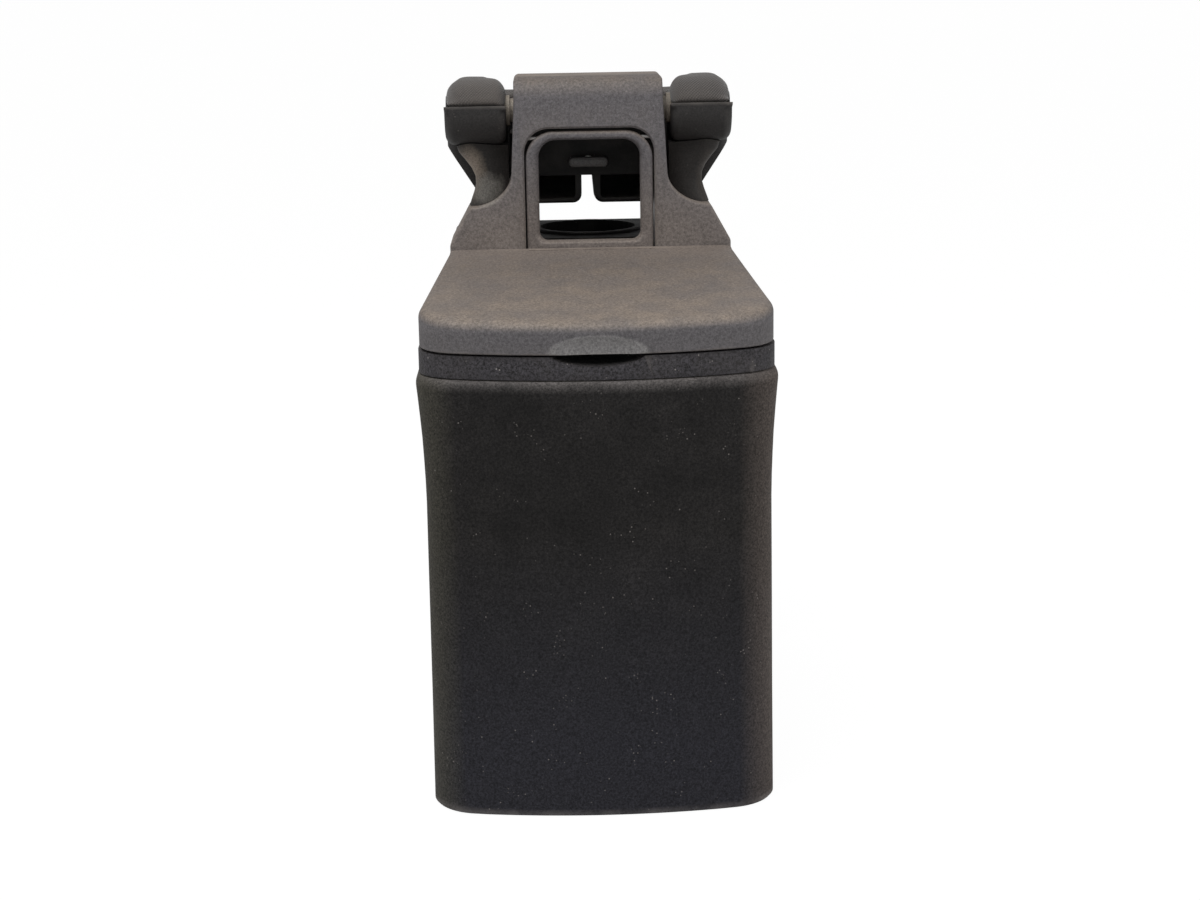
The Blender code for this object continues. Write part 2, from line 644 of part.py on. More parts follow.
def make_lid():
    """Lid with its tongue, window, scoop and screw bosses, then its inner panel."""
    lid = slab("lid_skin", BROWN_PLASTIC, lid_plan(0, 0, 0), LID_LOW, LID_LOW + LID_FRONT_HEIGHT)
    slope_top(lid, LID_LOW + 0.001, 0)
    round_edges(lid, LID_EDGE, 3, lambda co: co.z > LID_LOW + LID_FRONT_HEIGHT * 0.9)
    hollow = slab("lid_hollow", None, lid_plan(LID_WALL, LID_LIP, LID_WALL), LID_LOW - CUT_PAST,
                  LID_LOW + CUT_PAST)
    slope_top(hollow, LID_LOW, LID_WALL)
    carve(lid, hollow)
    carve(lid, block("lid_rear_notch", None, (-LID_WIDTH, LID_REAR - LID_WALL * 3, LID_LOW - CUT_PAST),
                     (LID_WIDTH, LID_REAR + CUT_PAST, LID_LOW + LID_WALL * 1.5)))
    carve(lid, grip_cutter("lid_scoop", GRIP_HEIGHT, GRIP_BELOW * 1.8))
    half = TONGUE_WIDTH / 2
    sill = DECK_HEIGHT - TONGUE_SILL_DROP
    outer = rounded([(-half, sill, 0), (half, sill, 0), (half, TONGUE_TOP, TONGUE_CORNER),
                     (-half, TONGUE_TOP, TONGUE_CORNER)])
    side, corner = WINDOW_WIDTH / 2, WINDOW_CORNER
    window = rounded([(-side, WINDOW_LOW, corner), (side, WINDOW_LOW, corner),
                      (side, WINDOW_HIGH, corner), (-side, WINDOW_HIGH, corner)], 3)
    tongue = slab("tongue", None, outer, COLUMN_FRONT, COLUMN_FRONT + TONGUE_DEPTH, "XZ", [window])
    round_edges(tongue, TONGUE_EDGE, 2, lambda co: co.z > sill + WELD_IN)
    root = block("tongue_root", None, (-half + WELD_IN, LID_REAR - LID_WALL * 2.3, sill + WELD_IN),
                 (half - WELD_IN, COLUMN_FRONT + TONGUE_DEPTH - WELD_IN, DECK_HEIGHT - LID_LOWER_GAP))
    carve(lid, root, "UNION")
    carve(lid, tongue, "UNION")
    bore = rod("pin_bores", None, PIN_RADIUS, (-half, LID_AXIS_BACK, LID_AXIS_HEIGHT),
               (half, LID_AXIS_BACK, LID_AXIS_HEIGHT), 12)
    carve(lid, bore)
    reach = FRAME_SPREAD / 2 - SEAT_GAP
    ends = [((sx * PIN_INNER, LID_AXIS_BACK, LID_AXIS_HEIGHT), (sx * reach, LID_AXIS_BACK, LID_AXIS_HEIGHT))
            for sx in (-1, 1)]
    row_of_rods("lid_pin", STEEL, PIN_RADIUS - RUN_GAP, ends, 12)
    panel_low = LID_LOW + LID_PANEL_RISE
    panel_high = panel_low + LID_PANEL
    liner = slab("lid_liner", DARK_PLASTIC,
                 lid_plan(LID_WALL + LID_REAR_GAP, LID_LIP + LID_REAR_GAP, LID_WALL + LID_REAR_GAP),
                 panel_low, panel_high)
    screw_ends = []
    for sx in (-1, 1):
        for back in LID_BOSS_BACKS:
            x = sx * LID_BOSS_SIDE
            boss = rod(f"boss_{'r' if sx > 0 else 'l'}_{int(back * 1000)}", None, LID_BOSS_RADIUS,
                       (x, back, panel_high + SEAT_GAP), (x, back, lid_height(back) - LID_WALL * 0.6), 16)
            carve(lid, boss, "UNION")
            low = panel_low - SEAT_GAP
            screw_ends.append(((x, back, low - SCREW_HEIGHT * 0.7), (x, back, low)))
    screws = row_of_rods("lid_screw", STEEL, SCREW_RADIUS, screw_ends)
    near, far = BIN_WIDTH / 2 + BIN_FLANGE, LID_WIDTH / 2 - LID_WALL
    buffer_back = FRONT_BOW + LID_LIP + BUFFER_BEHIND_LIP
    ends = [((sx * (near + far) / 2, buffer_back, COLLAR_TOP + SEAT_GAP),
             (sx * (near + far) / 2, buffer_back, panel_low - SEAT_GAP)) for sx in (-1, 1)]
    row_of_rods("lid_buffer", RUBBER, (far - near) * BUFFER_SHARE, ends)
    axis_empty("lid_axis", LID_AXIS_BACK, LID_AXIS_HEIGHT, [lid, liner, *screws])


# Arms

def seam_height(back):
    """Height of the seam between pad and shell, from the pivot."""
    nose = -((NOSE_RADIUS ** 2 - SEAM_AT_NOSE ** 2) ** 0.5)
    return SEAM_AT_NOSE - SEAM_SLOPE * (back - nose)


def from_pivot(points):
    """Side-view points measured from the pivot, moved to their place."""
    return [(y + PIVOT_BACK, z + PIVOT_HEIGHT) for y, z in points]


def pad_profile():
    """Side view of the padded top."""
    seam_angle = 180 - 11.3
    nose = [(y, z, 0) for y, z in arc((0, 0), NOSE_RADIUS, seam_angle - 1.2, 78, 10)]
    back = [(ARM_STEP + PAD_DIP_BEHIND, PAD_DIP, PAD_DIP_ROUND),
            (ARM_REACH, PAD_END_HEIGHT, PAD_END_ROUND),
            (ARM_REACH, seam_height(ARM_REACH) + SEAT_GAP, PAD_SEAM_ROUND)]
    return from_pivot(rounded(nose + back))


def shell_profile():
    """Side view of the plastic underside."""
    nose = [(y, z, 0) for y, z in arc((0, 0), NOSE_RADIUS, 168.7, 310, 14)]
    under = [(ARM_STEP, -BELLY_DEPTH + STEP_RISE, STEP_ROUND), (BELLY_END, -BELLY_DEPTH, BELLY_ROUND),
             (ARM_REACH, -TIP_DEPTH, TIP_ROUND), (ARM_REACH, seam_height(ARM_REACH), 0)]
    return from_pivot(rounded(nose + under))


def flank_wedge(name, sign, inset):
    """Room outside the shell's flank, which draws in towards the belly."""
    top, low = PIVOT_HEIGHT - TAPER_START, PIVOT_HEIGHT - BELLY_DEPTH - CUT_PAST
    side = ARM_OUTER - inset
    outline = [(side, top), (side, PIVOT_HEIGHT + CUT_PAST), (ARM_OUTER + CUT_PAST, PIVOT_HEIGHT + CUT_PAST),
               (ARM_OUTER + CUT_PAST, low), (side - TAPER_SLOPE * (top - low), low)]
    if inset <= 0:
        outline = [outline[0], (ARM_OUTER + CUT_PAST, top), *outline[3:]]
    return slab(name, None, [(sign * x, z) for x, z in outline], PIVOT_BACK - 2 * NOSE_RADIUS,
                TOTAL_DEPTH + CUT_PAST, "XZ")


def make_arm(side, sign):
    """One arm: fabric pad, plastic shell, steel plate, bush, cap and screws."""
    def span(low, high):
        return sorted((sign * low, sign * high))

    middle = ARM_MIDDLE_GAP / 2
    beside = span(-CUT_PAST * 2, ARM_INNER)
    notch = block("arm_notch_" + side, None,
                  (beside[0], PIVOT_BACK - NOTCH_BEFORE, PIVOT_HEIGHT - BELLY_DEPTH - CUT_PAST),
                  (beside[1], STEP_BACK, PIVOT_HEIGHT + NOSE_RADIUS + CUT_PAST))
    pad = slab(f"arm_{side}_pad", FABRIC, pad_profile(), *span(middle, ARM_OUTER), "YZ")
    round_edges(pad, PAD_EDGE, 2, lambda co: co.z > PIVOT_HEIGHT + seam_height(co.y - PIVOT_BACK) + 0.002)
    carve(pad, notch)
    hub_room = slab("pad_hub_room_" + side, None,
                    circle((PIVOT_BACK, PIVOT_HEIGHT), BARREL_RADIUS + SEAT_GAP, 36),
                    *span(ARM_INNER - CUT_PAST, ARM_OUTER + CUT_PAST), "YZ")
    carve(pad, hub_room)

    shell = slab(f"arm_{side}_shell", BROWN_PLASTIC, shell_profile(), *span(middle, ARM_OUTER), "YZ")
    carve(shell, notch)
    barrel = rod("arm_barrel_" + side, None, BARREL_RADIUS,
                 (sign * (ARM_INNER + BARREL_END_IN), PIVOT_BACK, PIVOT_HEIGHT),
                 (sign * (ARM_OUTER - BARREL_END_IN), PIVOT_BACK, PIVOT_HEIGHT), 36)
    carve(shell, barrel, "UNION")
    bore = rod("arm_bore_" + side, None, BORE_RADIUS,
               (sign * (ARM_INNER - CUT_PAST), PIVOT_BACK, PIVOT_HEIGHT),
               (sign * (ARM_OUTER + CUT_PAST), PIVOT_BACK, PIVOT_HEIGHT), 28)
    carve(shell, bore)
    front = ARM_STEP + SHELL_WALL
    floor = -BELLY_DEPTH + SHELL_WALL + ROOM_FLOOR_RISE
    end = ARM_REACH - SHELL_WALL
    room = [(front, ROOM_TOP), (front, floor), (BELLY_END, floor),
            (end - ROOM_TIP_BACK, -TIP_DEPTH + SHELL_WALL + ROOM_FLOOR_RISE),
            (end, -TIP_DEPTH + ROOM_TIP_RISE), (end, ROOM_TOP)]
    room = slab("arm_room_" + side, None, from_pivot(room),
                *span(middle + SHELL_WALL, ARM_OUTER - SHELL_WALL), "YZ")
    wall = SHELL_WALL * (1 + TAPER_SLOPE ** 2) ** 0.5
    carve(room, flank_wedge("room_wedge_" + side, sign, wall))
    carve(shell, room)
    flank = [(FLANK_BACK, ROOM_TOP), (FLANK_BACK, -FLANK_DROP), (front + WELD_IN * 2, floor),
             (front + WELD_IN * 2, ROOM_TOP)]
    flank = slab("arm_flank_" + side, None, from_pivot(flank),
                 *span(ARM_INNER + SHELL_WALL, ARM_OUTER - SHELL_WALL), "YZ")
    carve(flank, flank_wedge("flank_wedge_" + side, sign, wall))
    carve(shell, flank)
    carve(shell, flank_wedge("shell_wedge_" + side, sign, 0))
    mouth_sides = (middle + SHELL_WALL + MOUTH_SIDE_IN, ARM_INNER - MOUTH_SIDE_IN)
    mouth = block("arm_mouth_" + side, None,
                  (span(*mouth_sides)[0], STEP_BACK - CUT_PAST, PIVOT_HEIGHT + floor + MOUTH_SIDE_IN / 2),
                  (span(*mouth_sides)[1], STEP_BACK + SHELL_WALL + SEAT_GAP, PIVOT_HEIGHT - MOUTH_TOP_DROP))
    carve(shell, mouth)

    ledge = ARM_STEP + ARM_STRIP_BEHIND
    tail = ARM_REACH - ARM_STRIP_SHORT
    thick = ARM_STRIP
    drop = SEAT_GAP * 2
    foot = seam_height(ledge) - ARM_STRIP_LEG
    strip = [(ledge, seam_height(ledge) - drop), (ledge, foot),
             (ledge + thick, foot), (ledge + thick, seam_height(ledge) - drop - thick * 1.1),
             (tail, seam_height(tail) - drop - thick), (tail, seam_height(tail) - drop)]
    bracket = slab(f"arm_{side}_bracket", STEEL, from_pivot(strip),
                   *span(middle + SHELL_WALL + SEAT_GAP, ARM_OUTER - SHELL_WALL * 2), "YZ")

    centre = (PIVOT_BACK, PIVOT_HEIGHT)
    bush = slab(f"arm_{side}_bush", DARK_PLASTIC, circle(centre, BUSH_RADIUS),
                *span(ARM_INNER - TONGUE_GAP, ARM_OUTER - CAP_IN - TONGUE_GAP), "YZ",
                [circle(centre, TUBE_RADIUS + RUN_GAP)])
    cap = slab(f"arm_{side}_cap", DARK_PLASTIC, circle(centre, BUSH_RADIUS),
               *span(ARM_OUTER - CAP_IN, ARM_OUTER + CAP_PROUD), "YZ")
    heads = []
    for back in ARM_SCREW_BACKS:
        share = (back - BELLY_END) / (ARM_REACH - BELLY_END)
        low = PIVOT_HEIGHT - BELLY_DEPTH + (BELLY_DEPTH - TIP_DEPTH) * share
        place = Vector((sign * ARM_SCREW_SIDE, PIVOT_BACK + back, low - SEAT_GAP * 2))
        heads.append((place, place - Vector((0, 0, SCREW_HEIGHT))))
    screws = row_of_rods(f"arm_{side}_screw", STEEL, SCREW_RADIUS, heads)
    axis_empty(f"arm_{side}_axis", PIVOT_BACK, PIVOT_HEIGHT, [pad, shell, bracket, bush, cap, *screws])


# Rear deck and cup

def make_deck():
    """Deck behind the column with the round cup recess."""
    half = SHOULDER_WIDTH / 2

    def plan(inset):
        corner = REAR_CORNER - inset
        return rounded([(-half + inset, DECK_FRONT + inset, 0), (half - inset, DECK_FRONT + inset, 0),
                        (half - inset, DECK_BACK - inset, corner), (-half + inset, DECK_BACK - inset, corner)])

    deck = slab("rear_deck", BLACK_PLASTIC, plan(0), COVER_LOW, DECK_HEIGHT)
    round_edges(deck, DECK_WALL, 2, lambda co: co.z > DECK_HEIGHT - 0.0001 and co.y > DECK_FRONT + 0.001)
    carve(deck, slab("deck_hollow", None, plan(DECK_WALL), COVER_LOW - CUT_PAST, DECK_HEIGHT - DECK_WALL))
    carve(deck, rod("cup_hole", None, CUP_RADIUS + SEAT_GAP, (0, CUP_BACK, DECK_HEIGHT - CUT_PAST),
                    (0, CUP_BACK, DECK_HEIGHT + CUT_PAST), 40))
    top = DECK_HEIGHT + SEAT_GAP + BIN_RIM
    inner, floor = CUP_RADIUS - CUP_WALL, top - CUP_DEPTH
    flange = CUP_RADIUS + CUP_FLANGE
    turn, edge = CUP_FLOOR_ROUND, SEAT_GAP * 1.5
    profile = [(0, floor + CUP_WALL), (inner - turn, floor + CUP_WALL), (inner, floor + CUP_WALL + turn),
               (inner, top), (flange - edge, top), (flange, top - edge), (flange, DECK_HEIGHT + SEAT_GAP),
               (CUP_RADIUS, DECK_HEIGHT + SEAT_GAP), (CUP_RADIUS, floor + turn), (CUP_RADIUS - turn, floor),
               (0, floor)]
    turned("cup_insert", DARK_PLASTIC, profile, (0, CUP_BACK), 36)
    low = floor + CUP_WALL + SEAT_GAP
    rod("cup_mat", RUBBER, inner - CUP_FLOOR_ROUND * 1.17, (0, CUP_BACK, low), (0, CUP_BACK, low + CUP_MAT), 32)


# Release bar

def make_release_bar():
    """Small bar inside the window with its stem through the panel, and its spring."""
    back = PANEL_FRONT - BAR_TRAVEL - BAR_STAND_OFF
    front = back - BAR_DEPTH
    half, tall = BAR_WIDTH / 2, BAR_HEIGHT / 2
    low, high = BAR_CENTRE - tall, BAR_CENTRE + tall
    face = rounded([(x, z, BAR_ROUND) for x, z in ((-half, low), (half, low), (half, high), (-half, high))], 3)
    bar = slab("release_bar", BLACK_PLASTIC, face, front, back, "XZ")
    round_edges(bar, SMALL_ROUND, 2, lambda co: co.y < front + WELD_IN / 5)
    stem = rod("release_stem", None, STEM_HOLE * 0.7, (0, back - SMALL_ROUND, BAR_CENTRE),
               (0, COLUMN_BACK + BAR_ROUND, BAR_CENTRE), 16)
    carve(bar, stem, "UNION")
    axis_empty("release_axis", back, BAR_CENTRE, [bar])
    wire, ring, turns, around = SPRING_WIRE, STEM_HOLE + SPRING_WIRE / 2, 2, 12
    curve = bpy.data.curves.new("release_spring", "CURVE")
    curve.dimensions = "3D"
    curve.bevel_depth = wire
    curve.bevel_resolution = 2
    curve.use_fill_caps = True
    count = int(turns * around)
    spline = curve.splines.new("POLY")
    spline.points.add(count)
    rest = PANEL_FRONT - SEAT_GAP - wire
    for index, point in enumerate(spline.points):
        angle = 2 * pi * index / around
        along = rest - wire * 2.5 * index / around
        point.co = (ring * cos(angle), along, BAR_CENTRE + ring * sin(angle), 1)
    spring = bpy.data.objects.new("release_spring", curve)
    spring.location = (0, -TOTAL_DEPTH / 2, 0)
    curve.materials.append(STEEL)
    parts.objects.link(spring)


make_housing()
make_base()
make_collar()
make_bin_liner()
make_column_frame()
make_column_cover()
make_column_back()
make_pivot_tube()
make_hub_support("l", -1)
make_hub_support("r", 1)
make_lid()
make_arm("l", -1)
make_arm("r", 1)
make_deck()
make_release_bar()
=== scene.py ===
# %% [markdown]
# # Car armrest: a centre console with a storage bin and two folding arms
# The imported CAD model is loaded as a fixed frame, and its shape is never touched.
# This script dresses it: it keeps the small solids with better materials, and puts finer pieces in
# place of the ones that a buyer sees and touches.

# %% Load the frame
from contextlib import contextmanager
from math import acos, atan2, cos, pi, radians, sin, sqrt, tan

import bmesh
import bpy
from mathutils import Matrix, Vector


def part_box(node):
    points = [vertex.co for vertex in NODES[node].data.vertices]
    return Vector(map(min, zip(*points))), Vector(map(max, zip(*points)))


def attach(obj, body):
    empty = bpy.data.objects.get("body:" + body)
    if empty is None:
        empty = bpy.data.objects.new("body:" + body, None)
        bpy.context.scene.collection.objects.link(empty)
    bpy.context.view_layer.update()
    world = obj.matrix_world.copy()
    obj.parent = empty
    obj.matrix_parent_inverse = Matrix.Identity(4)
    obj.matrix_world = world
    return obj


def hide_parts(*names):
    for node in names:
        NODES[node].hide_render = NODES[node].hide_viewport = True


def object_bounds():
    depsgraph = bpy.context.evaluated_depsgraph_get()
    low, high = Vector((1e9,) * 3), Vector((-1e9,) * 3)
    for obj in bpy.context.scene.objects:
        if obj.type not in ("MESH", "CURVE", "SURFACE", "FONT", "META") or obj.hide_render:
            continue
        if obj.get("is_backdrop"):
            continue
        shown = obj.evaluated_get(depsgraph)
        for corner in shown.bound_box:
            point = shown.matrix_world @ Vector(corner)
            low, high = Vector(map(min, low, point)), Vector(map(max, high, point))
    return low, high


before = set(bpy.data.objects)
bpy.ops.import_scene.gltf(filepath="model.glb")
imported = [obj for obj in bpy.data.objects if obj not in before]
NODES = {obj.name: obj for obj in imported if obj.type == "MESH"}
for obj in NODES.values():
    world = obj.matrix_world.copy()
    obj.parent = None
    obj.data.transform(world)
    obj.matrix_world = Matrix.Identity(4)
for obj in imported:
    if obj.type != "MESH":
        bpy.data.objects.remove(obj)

CAD_BOX = [list(corner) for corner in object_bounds()]
print("nodes in the frame:", len(NODES))

# %% [markdown]
# ## Camera
# The photograph looks down a little at the bin end. From about one and a third metres away, a long
# lens keeps the tall sides nearly parallel. The camera is rolled slightly, as in the photograph.

# %% Camera
LENS = 66.0
SENSOR_WIDTH = 36.0
CAMERA_HEIGHT = 0.55
CAMERA_BACK = 1.5375
CAMERA_SIDE = -0.0300
PITCH_DOWN = 13.0
YAW = -1.29
ROLL = -0.95

lens = bpy.data.cameras.new("camera")
lens.lens = LENS
lens.sensor_width = SENSOR_WIDTH
camera = bpy.data.objects.new("camera", lens)
bpy.context.scene.collection.objects.link(camera)
turned = Matrix.Rotation(radians(YAW), 4, "Z")
pitched = Matrix.Rotation(radians(90 - PITCH_DOWN), 4, "X")
rolled = Matrix.Rotation(radians(ROLL), 4, "Z")
stand = Matrix.Translation((CAMERA_SIDE, -CAMERA_BACK, CAMERA_HEIGHT))
camera.matrix_world = stand @ (turned @ pitched @ rolled)
bpy.context.scene.camera = camera
bpy.context.scene.view_settings.view_transform = "Standard"
print("camera at", tuple(round(v, 3) for v in camera.location))

# %% [markdown]
# ## Small helpers for materials
# A material here is a graph of nodes. One helper adds a node and fills its sockets, whether with a
# number or with a link, so that each finish can be read as a short recipe.

# %% Material helpers
MIX_FACTOR, MIX_FIRST, MIX_SECOND, MIX_RESULT = 0, 6, 7, 2


def fill(tree, socket, value):
    """Link a socket to another node's output, or give it a plain value."""
    if isinstance(value, bpy.types.NodeSocket):
        tree.links.new(value, socket)
    else:
        socket.default_value = value


def plug(tree, made, **sockets):
    """Fill the sockets of a node that are named."""
    for name, value in sockets.items():
        fill(tree, made.inputs[name.replace("_", " ")], value)
    return made


def node(tree, kind, settings=None, **sockets):
    """Add a node with its settings, and fill the sockets that are named."""
    made = tree.nodes.new(kind)
    for name, value in (settings or {}).items():
        setattr(made, name, value)
    return plug(tree, made, **sockets)


def blend_colour(tree, factor, first, second):
    """Mix two colours by a factor. The mix node's colour sockets are known by their numbers."""
    made = node(tree, "ShaderNodeMix", {"data_type": "RGBA"})
    fill(tree, made.inputs[MIX_FACTOR], factor)
    for index, value in ((MIX_FIRST, first), (MIX_SECOND, second)):
        fill(tree, made.inputs[index], (*value, 1.0) if isinstance(value, tuple) else value)
    return made.outputs[MIX_RESULT]


def remap(tree, value, low, high, start=0.0, end=1.0):
    """Spread the range from low to high over start to end, and clamp it."""
    return node(tree, "ShaderNodeMapRange", Value=value, From_Min=low, From_Max=high,
                To_Min=start, To_Max=end).outputs["Result"]


def combine(tree, operation, first, second):
    """Work out one value from two, such as their sum or the larger one."""
    made = node(tree, "ShaderNodeMath", {"operation": operation})
    for socket, value in zip(made.inputs, (first, second)):
        fill(tree, socket, value)
    return made.outputs[0]


def times(tree, first, second):
    """Multiply two values."""
    return combine(tree, "MULTIPLY", first, second)


def bumped(tree, strength, distance, height):
    """A surface direction tilted by a height, which may rise by a distance in metres."""
    return node(tree, "ShaderNodeBump", Strength=strength, Distance=distance, Height=height).outputs[0]


def noise(tree, spot, scale, detail, roughness=0.5):
    """A noise texture's value at a place."""
    return node(tree, "ShaderNodeTexNoise", Vector=spot, Scale=scale, Detail=detail,
                Roughness=roughness).outputs["Fac"]


def new_material(name):
    """An empty material with its shader and coordinates."""
    made = bpy.data.materials.new(name)
    made.use_nodes = True
    tree = made.node_tree
    return made, tree, tree.nodes["Principled BSDF"], tree.nodes.new("ShaderNodeTexCoord")

# %% [markdown]
# ## Grained plastic
# Console mouldings have a leather-like grain cast into them, and years of hands leave dust in the
# grain, mostly on faces that look up. The grain is a fine noise used as bump. The dust is a second
# colour, laid by the surface's own direction and by slow clouds; on the bin it is pale enough that on
# faces that look up, such as the rolled rim, it is also a painted highlight. A few bright specks and
# worn, paler edges stop it from looking new. Where the photograph shows a patch, a mark in that place
# changes the colour: some marks are dust or a scuff, some are painted light, painted highlights or
# painted shade, and some only make the patch lighter or darker.

# %% Grained plastic
def mark_mask(tree, spot, centre, half, soft, ragged):
    """One inside an ellipsoid at a place on the object, fading out at its ragged edge."""
    within = node(tree, "ShaderNodeMapping", {"vector_type": "TEXTURE"},
                  Vector=spot, Location=centre, Scale=half)
    away = node(tree, "ShaderNodeVectorMath", {"operation": "LENGTH"}, Vector=within.outputs[0])
    tear = noise(tree, spot, 160.0, 4.0, 0.7)
    torn = times(tree, tear, ragged)
    edge = 1.0 + ragged / 2
    reach = combine(tree, "ADD", away.outputs["Value"], torn)
    return remap(tree, reach, edge - soft, edge + soft, 1.0, 0.0)


def grained_plastic(name, colour, dusty, dust_and_highlight_amount, grain=1100.0, depth=0.00022, rough=0.56,
                    speck=0.35, wear=0.25, shine=0.3, contrast=0.34, dusty_rear=None, cloudy=0.55,
                    marks=()):
    """Coloured grain, then dust that can also be a painted highlight, marks, bright specks and worn edges
    laid over it in that order.
    """
    made, tree, shader, place = new_material(name)
    spot = place.outputs["Object"]
    up = node(tree, "ShaderNodeSeparateXYZ", Vector=place.outputs["Normal"]).outputs["Z"]
    clouds = noise(tree, spot, 11.0, 6.0, 0.62)
    patches = noise(tree, spot, 46.0, 4.0, 0.6)
    cloud = remap(tree, clouds, 0.36, 0.66, cloudy, 1.0)
    # Dust on faces that look up. With the bin's pale dust colour it is also a painted highlight on the
    # rim.
    laid = times(tree, remap(tree, up, 0.05, 0.75, 0.12, 1.0), cloud)
    back = node(tree, "ShaderNodeSeparateXYZ", Vector=spot).outputs["Y"]
    settled = blend_colour(tree, remap(tree, back, -0.19, -0.03, 0.0, 1.0), dusty, dusty_rear or dusty)
    base = blend_colour(tree, times(tree, laid, dust_and_highlight_amount), colour, settled)
    mottled = blend_colour(tree, remap(tree, patches, 0.3, 0.7, 0.0, 0.5), base,
                           tuple(c * 0.78 for c in colour))
    for centre, half, soft, ragged, tint, strength in marks:
        mask = times(tree, mark_mask(tree, spot, centre, half, soft, ragged), strength)
        mottled = blend_colour(tree, mask, mottled, tint)
    pebbles = node(tree, "ShaderNodeTexVoronoi", Vector=spot, Scale=grain * 0.62, Randomness=1.0)
    fine = noise(tree, spot, grain, 3.0, 0.7)
    flecks = noise(tree, spot, grain * 0.55, 2.0, 0.8)
    speckle = blend_colour(tree, 0.65, fine, flecks)
    tone = remap(tree, speckle, 0.38, 0.64, 1 - contrast, 1 + contrast)
    grained = node(tree, "ShaderNodeVectorMath", {"operation": "SCALE"}, Vector=mottled, Scale=tone)
    dots = node(tree, "ShaderNodeTexVoronoi", Vector=spot, Scale=300.0, Randomness=1.0)
    rare = noise(tree, spot, 70.0, 2.0)
    bright = times(tree, remap(tree, dots.outputs["Distance"], 0.10, 0.17, 1.0, 0.0),
                   remap(tree, rare, 0.56, 0.66, 0.0, speck))
    lit = blend_colour(tree, bright, grained.outputs[0], (0.34, 0.31, 0.29))
    edges = node(tree, "ShaderNodeNewGeometry").outputs["Pointiness"]
    worn = times(tree, remap(tree, edges, 0.515, 0.60, 0.0, wear),
                 remap(tree, patches, 0.40, 0.60, 0.3, 1.0))
    final = blend_colour(tree, worn, lit, tuple(min(1.0, c * 1.9 + 0.02) for c in dusty))
    height = blend_colour(tree, 0.5, pebbles.outputs["Distance"], fine)
    plug(tree, shader, Base_Color=final, Normal=bumped(tree, 0.75, depth, height),
         Roughness=remap(tree, clouds, 0.3, 0.7, rough - 0.06, rough + 0.12), Specular_IOR_Level=shine)
    return made


# Each mark is an ellipsoid: its centre, half sizes, softness, raggedness, colour and strength.
# On the console: a darker patch on the lid's skirt, painted light in the downward-facing hollow of
# the finger grip, dust on the shoulders and a scuff on the left one. On the bin: painted light from
# the floor on the bluish lower part, and painted highlights on the two front corners. On the collar:
# painted shade under the grip. On the supports: a painted highlight on the outer side of each, and a
# lighter patch on the left one's foot.
CONSOLE_MARKS_AND_PAINTED_LIGHT = [
    ((0, -0.200, 0.3050), (0.2, 0.06, 0.0130), 0.14, 0.05, (0.098, 0.092, 0.096), 0.9),
    # Painted light: the grip's hollow faces down, and it is coloured paler to make up for its shade.
    ((0, -0.2065, 0.3034), (0.0312, 0.03, 0.0112), 0.05, 0.02, (0.184, 0.177, 0.175), 0.95),
    ((0, -0.020, 0.340), (0.15, 0.04, 0.050), 0.45, 0.1, (0.190, 0.158, 0.136), 0.65),
    ((-0.0715, -0.024, 0.3875), (0.0105, 0.02, 0.0125), 0.25, 1.1, (0.215, 0.200, 0.180), 0.85),
]
BIN_PAINTED_LIGHT = [
    # Painted light from the floor: the bluish, lighter lower part of the bin.
    ((0, -0.20, -0.02), (0.3, 0.4, 0.14), 0.50, 0.1, (0.0215, 0.0212, 0.0262), 1.0),
    # Painted highlights on the two rounded front corners, which face the side light; the right one is
    # stronger.
    ((0.122, -0.195, 0.14), (0.0225, 0.085, 0.5), 0.55, 0.1, (0.098, 0.080, 0.070), 0.9),
    ((-0.122, -0.195, 0.14), (0.0210, 0.085, 0.5), 0.55, 0.1, (0.056, 0.052, 0.040), 0.9),
]
COLLAR_PAINTED_SHADE = [
    # Painted shade: the lid's shadow in the collar's hollow under the grip.
    ((0, -0.200, 0.3030), (0.0300, 0.03, 0.0078), 0.10, 0.05, (0.006, 0.006, 0.006), 0.95),
]
SUPPORT_PAINTED_HIGHLIGHTS_AND_PATCH = [
    # Painted highlights on the outer side of each support, stronger on the left one, where the light
    # comes from.
    ((-0.0835, -0.018, 0.3955), (0.0095, 0.03, 0.0145), 0.50, 0.4, (0.250, 0.205, 0.164), 0.95),
    ((0.0855, -0.018, 0.3900), (0.0085, 0.03, 0.0145), 0.50, 0.4, (0.090, 0.074, 0.060), 0.6),
    ((-0.0700, -0.022, 0.3845), (0.0115, 0.03, 0.0100), 0.30, 0.9, (0.130, 0.122, 0.110), 0.85),
]

CONSOLE_PLASTIC = grained_plastic(
    "console_plastic", (0.124, 0.118, 0.126), (0.228, 0.185, 0.148), 1.0,
    dusty_rear=(0.139, 0.114, 0.095), cloudy=0.88, marks=CONSOLE_MARKS_AND_PAINTED_LIGHT)
# The bin's dust colour is pale, so on the rolled rim and other faces that look up it is partly dust and
# partly a painted highlight.
BIN_PLASTIC = grained_plastic(
    "bin_plastic", (0.0060, 0.0058, 0.0058), (0.170, 0.155, 0.150), 0.9, grain=1200.0, depth=0.00020,
    rough=0.62, speck=0.4, wear=0.8, shine=0.12, contrast=0.55, marks=BIN_PAINTED_LIGHT)
COLLAR_PLASTIC = grained_plastic(
    "collar_plastic", (0.034, 0.032, 0.037), (0.085, 0.075, 0.068), 0.5, speck=0.7, wear=0.3,
    shine=0.22, contrast=0.85, marks=COLLAR_PAINTED_SHADE)
NOSE_PLASTIC = grained_plastic(
    "nose_plastic", (0.0225, 0.0215, 0.0215), (0.100, 0.088, 0.079), 0.8, grain=1500.0,
    depth=0.00012, rough=0.50, speck=0.2, wear=0.6, shine=0.25)
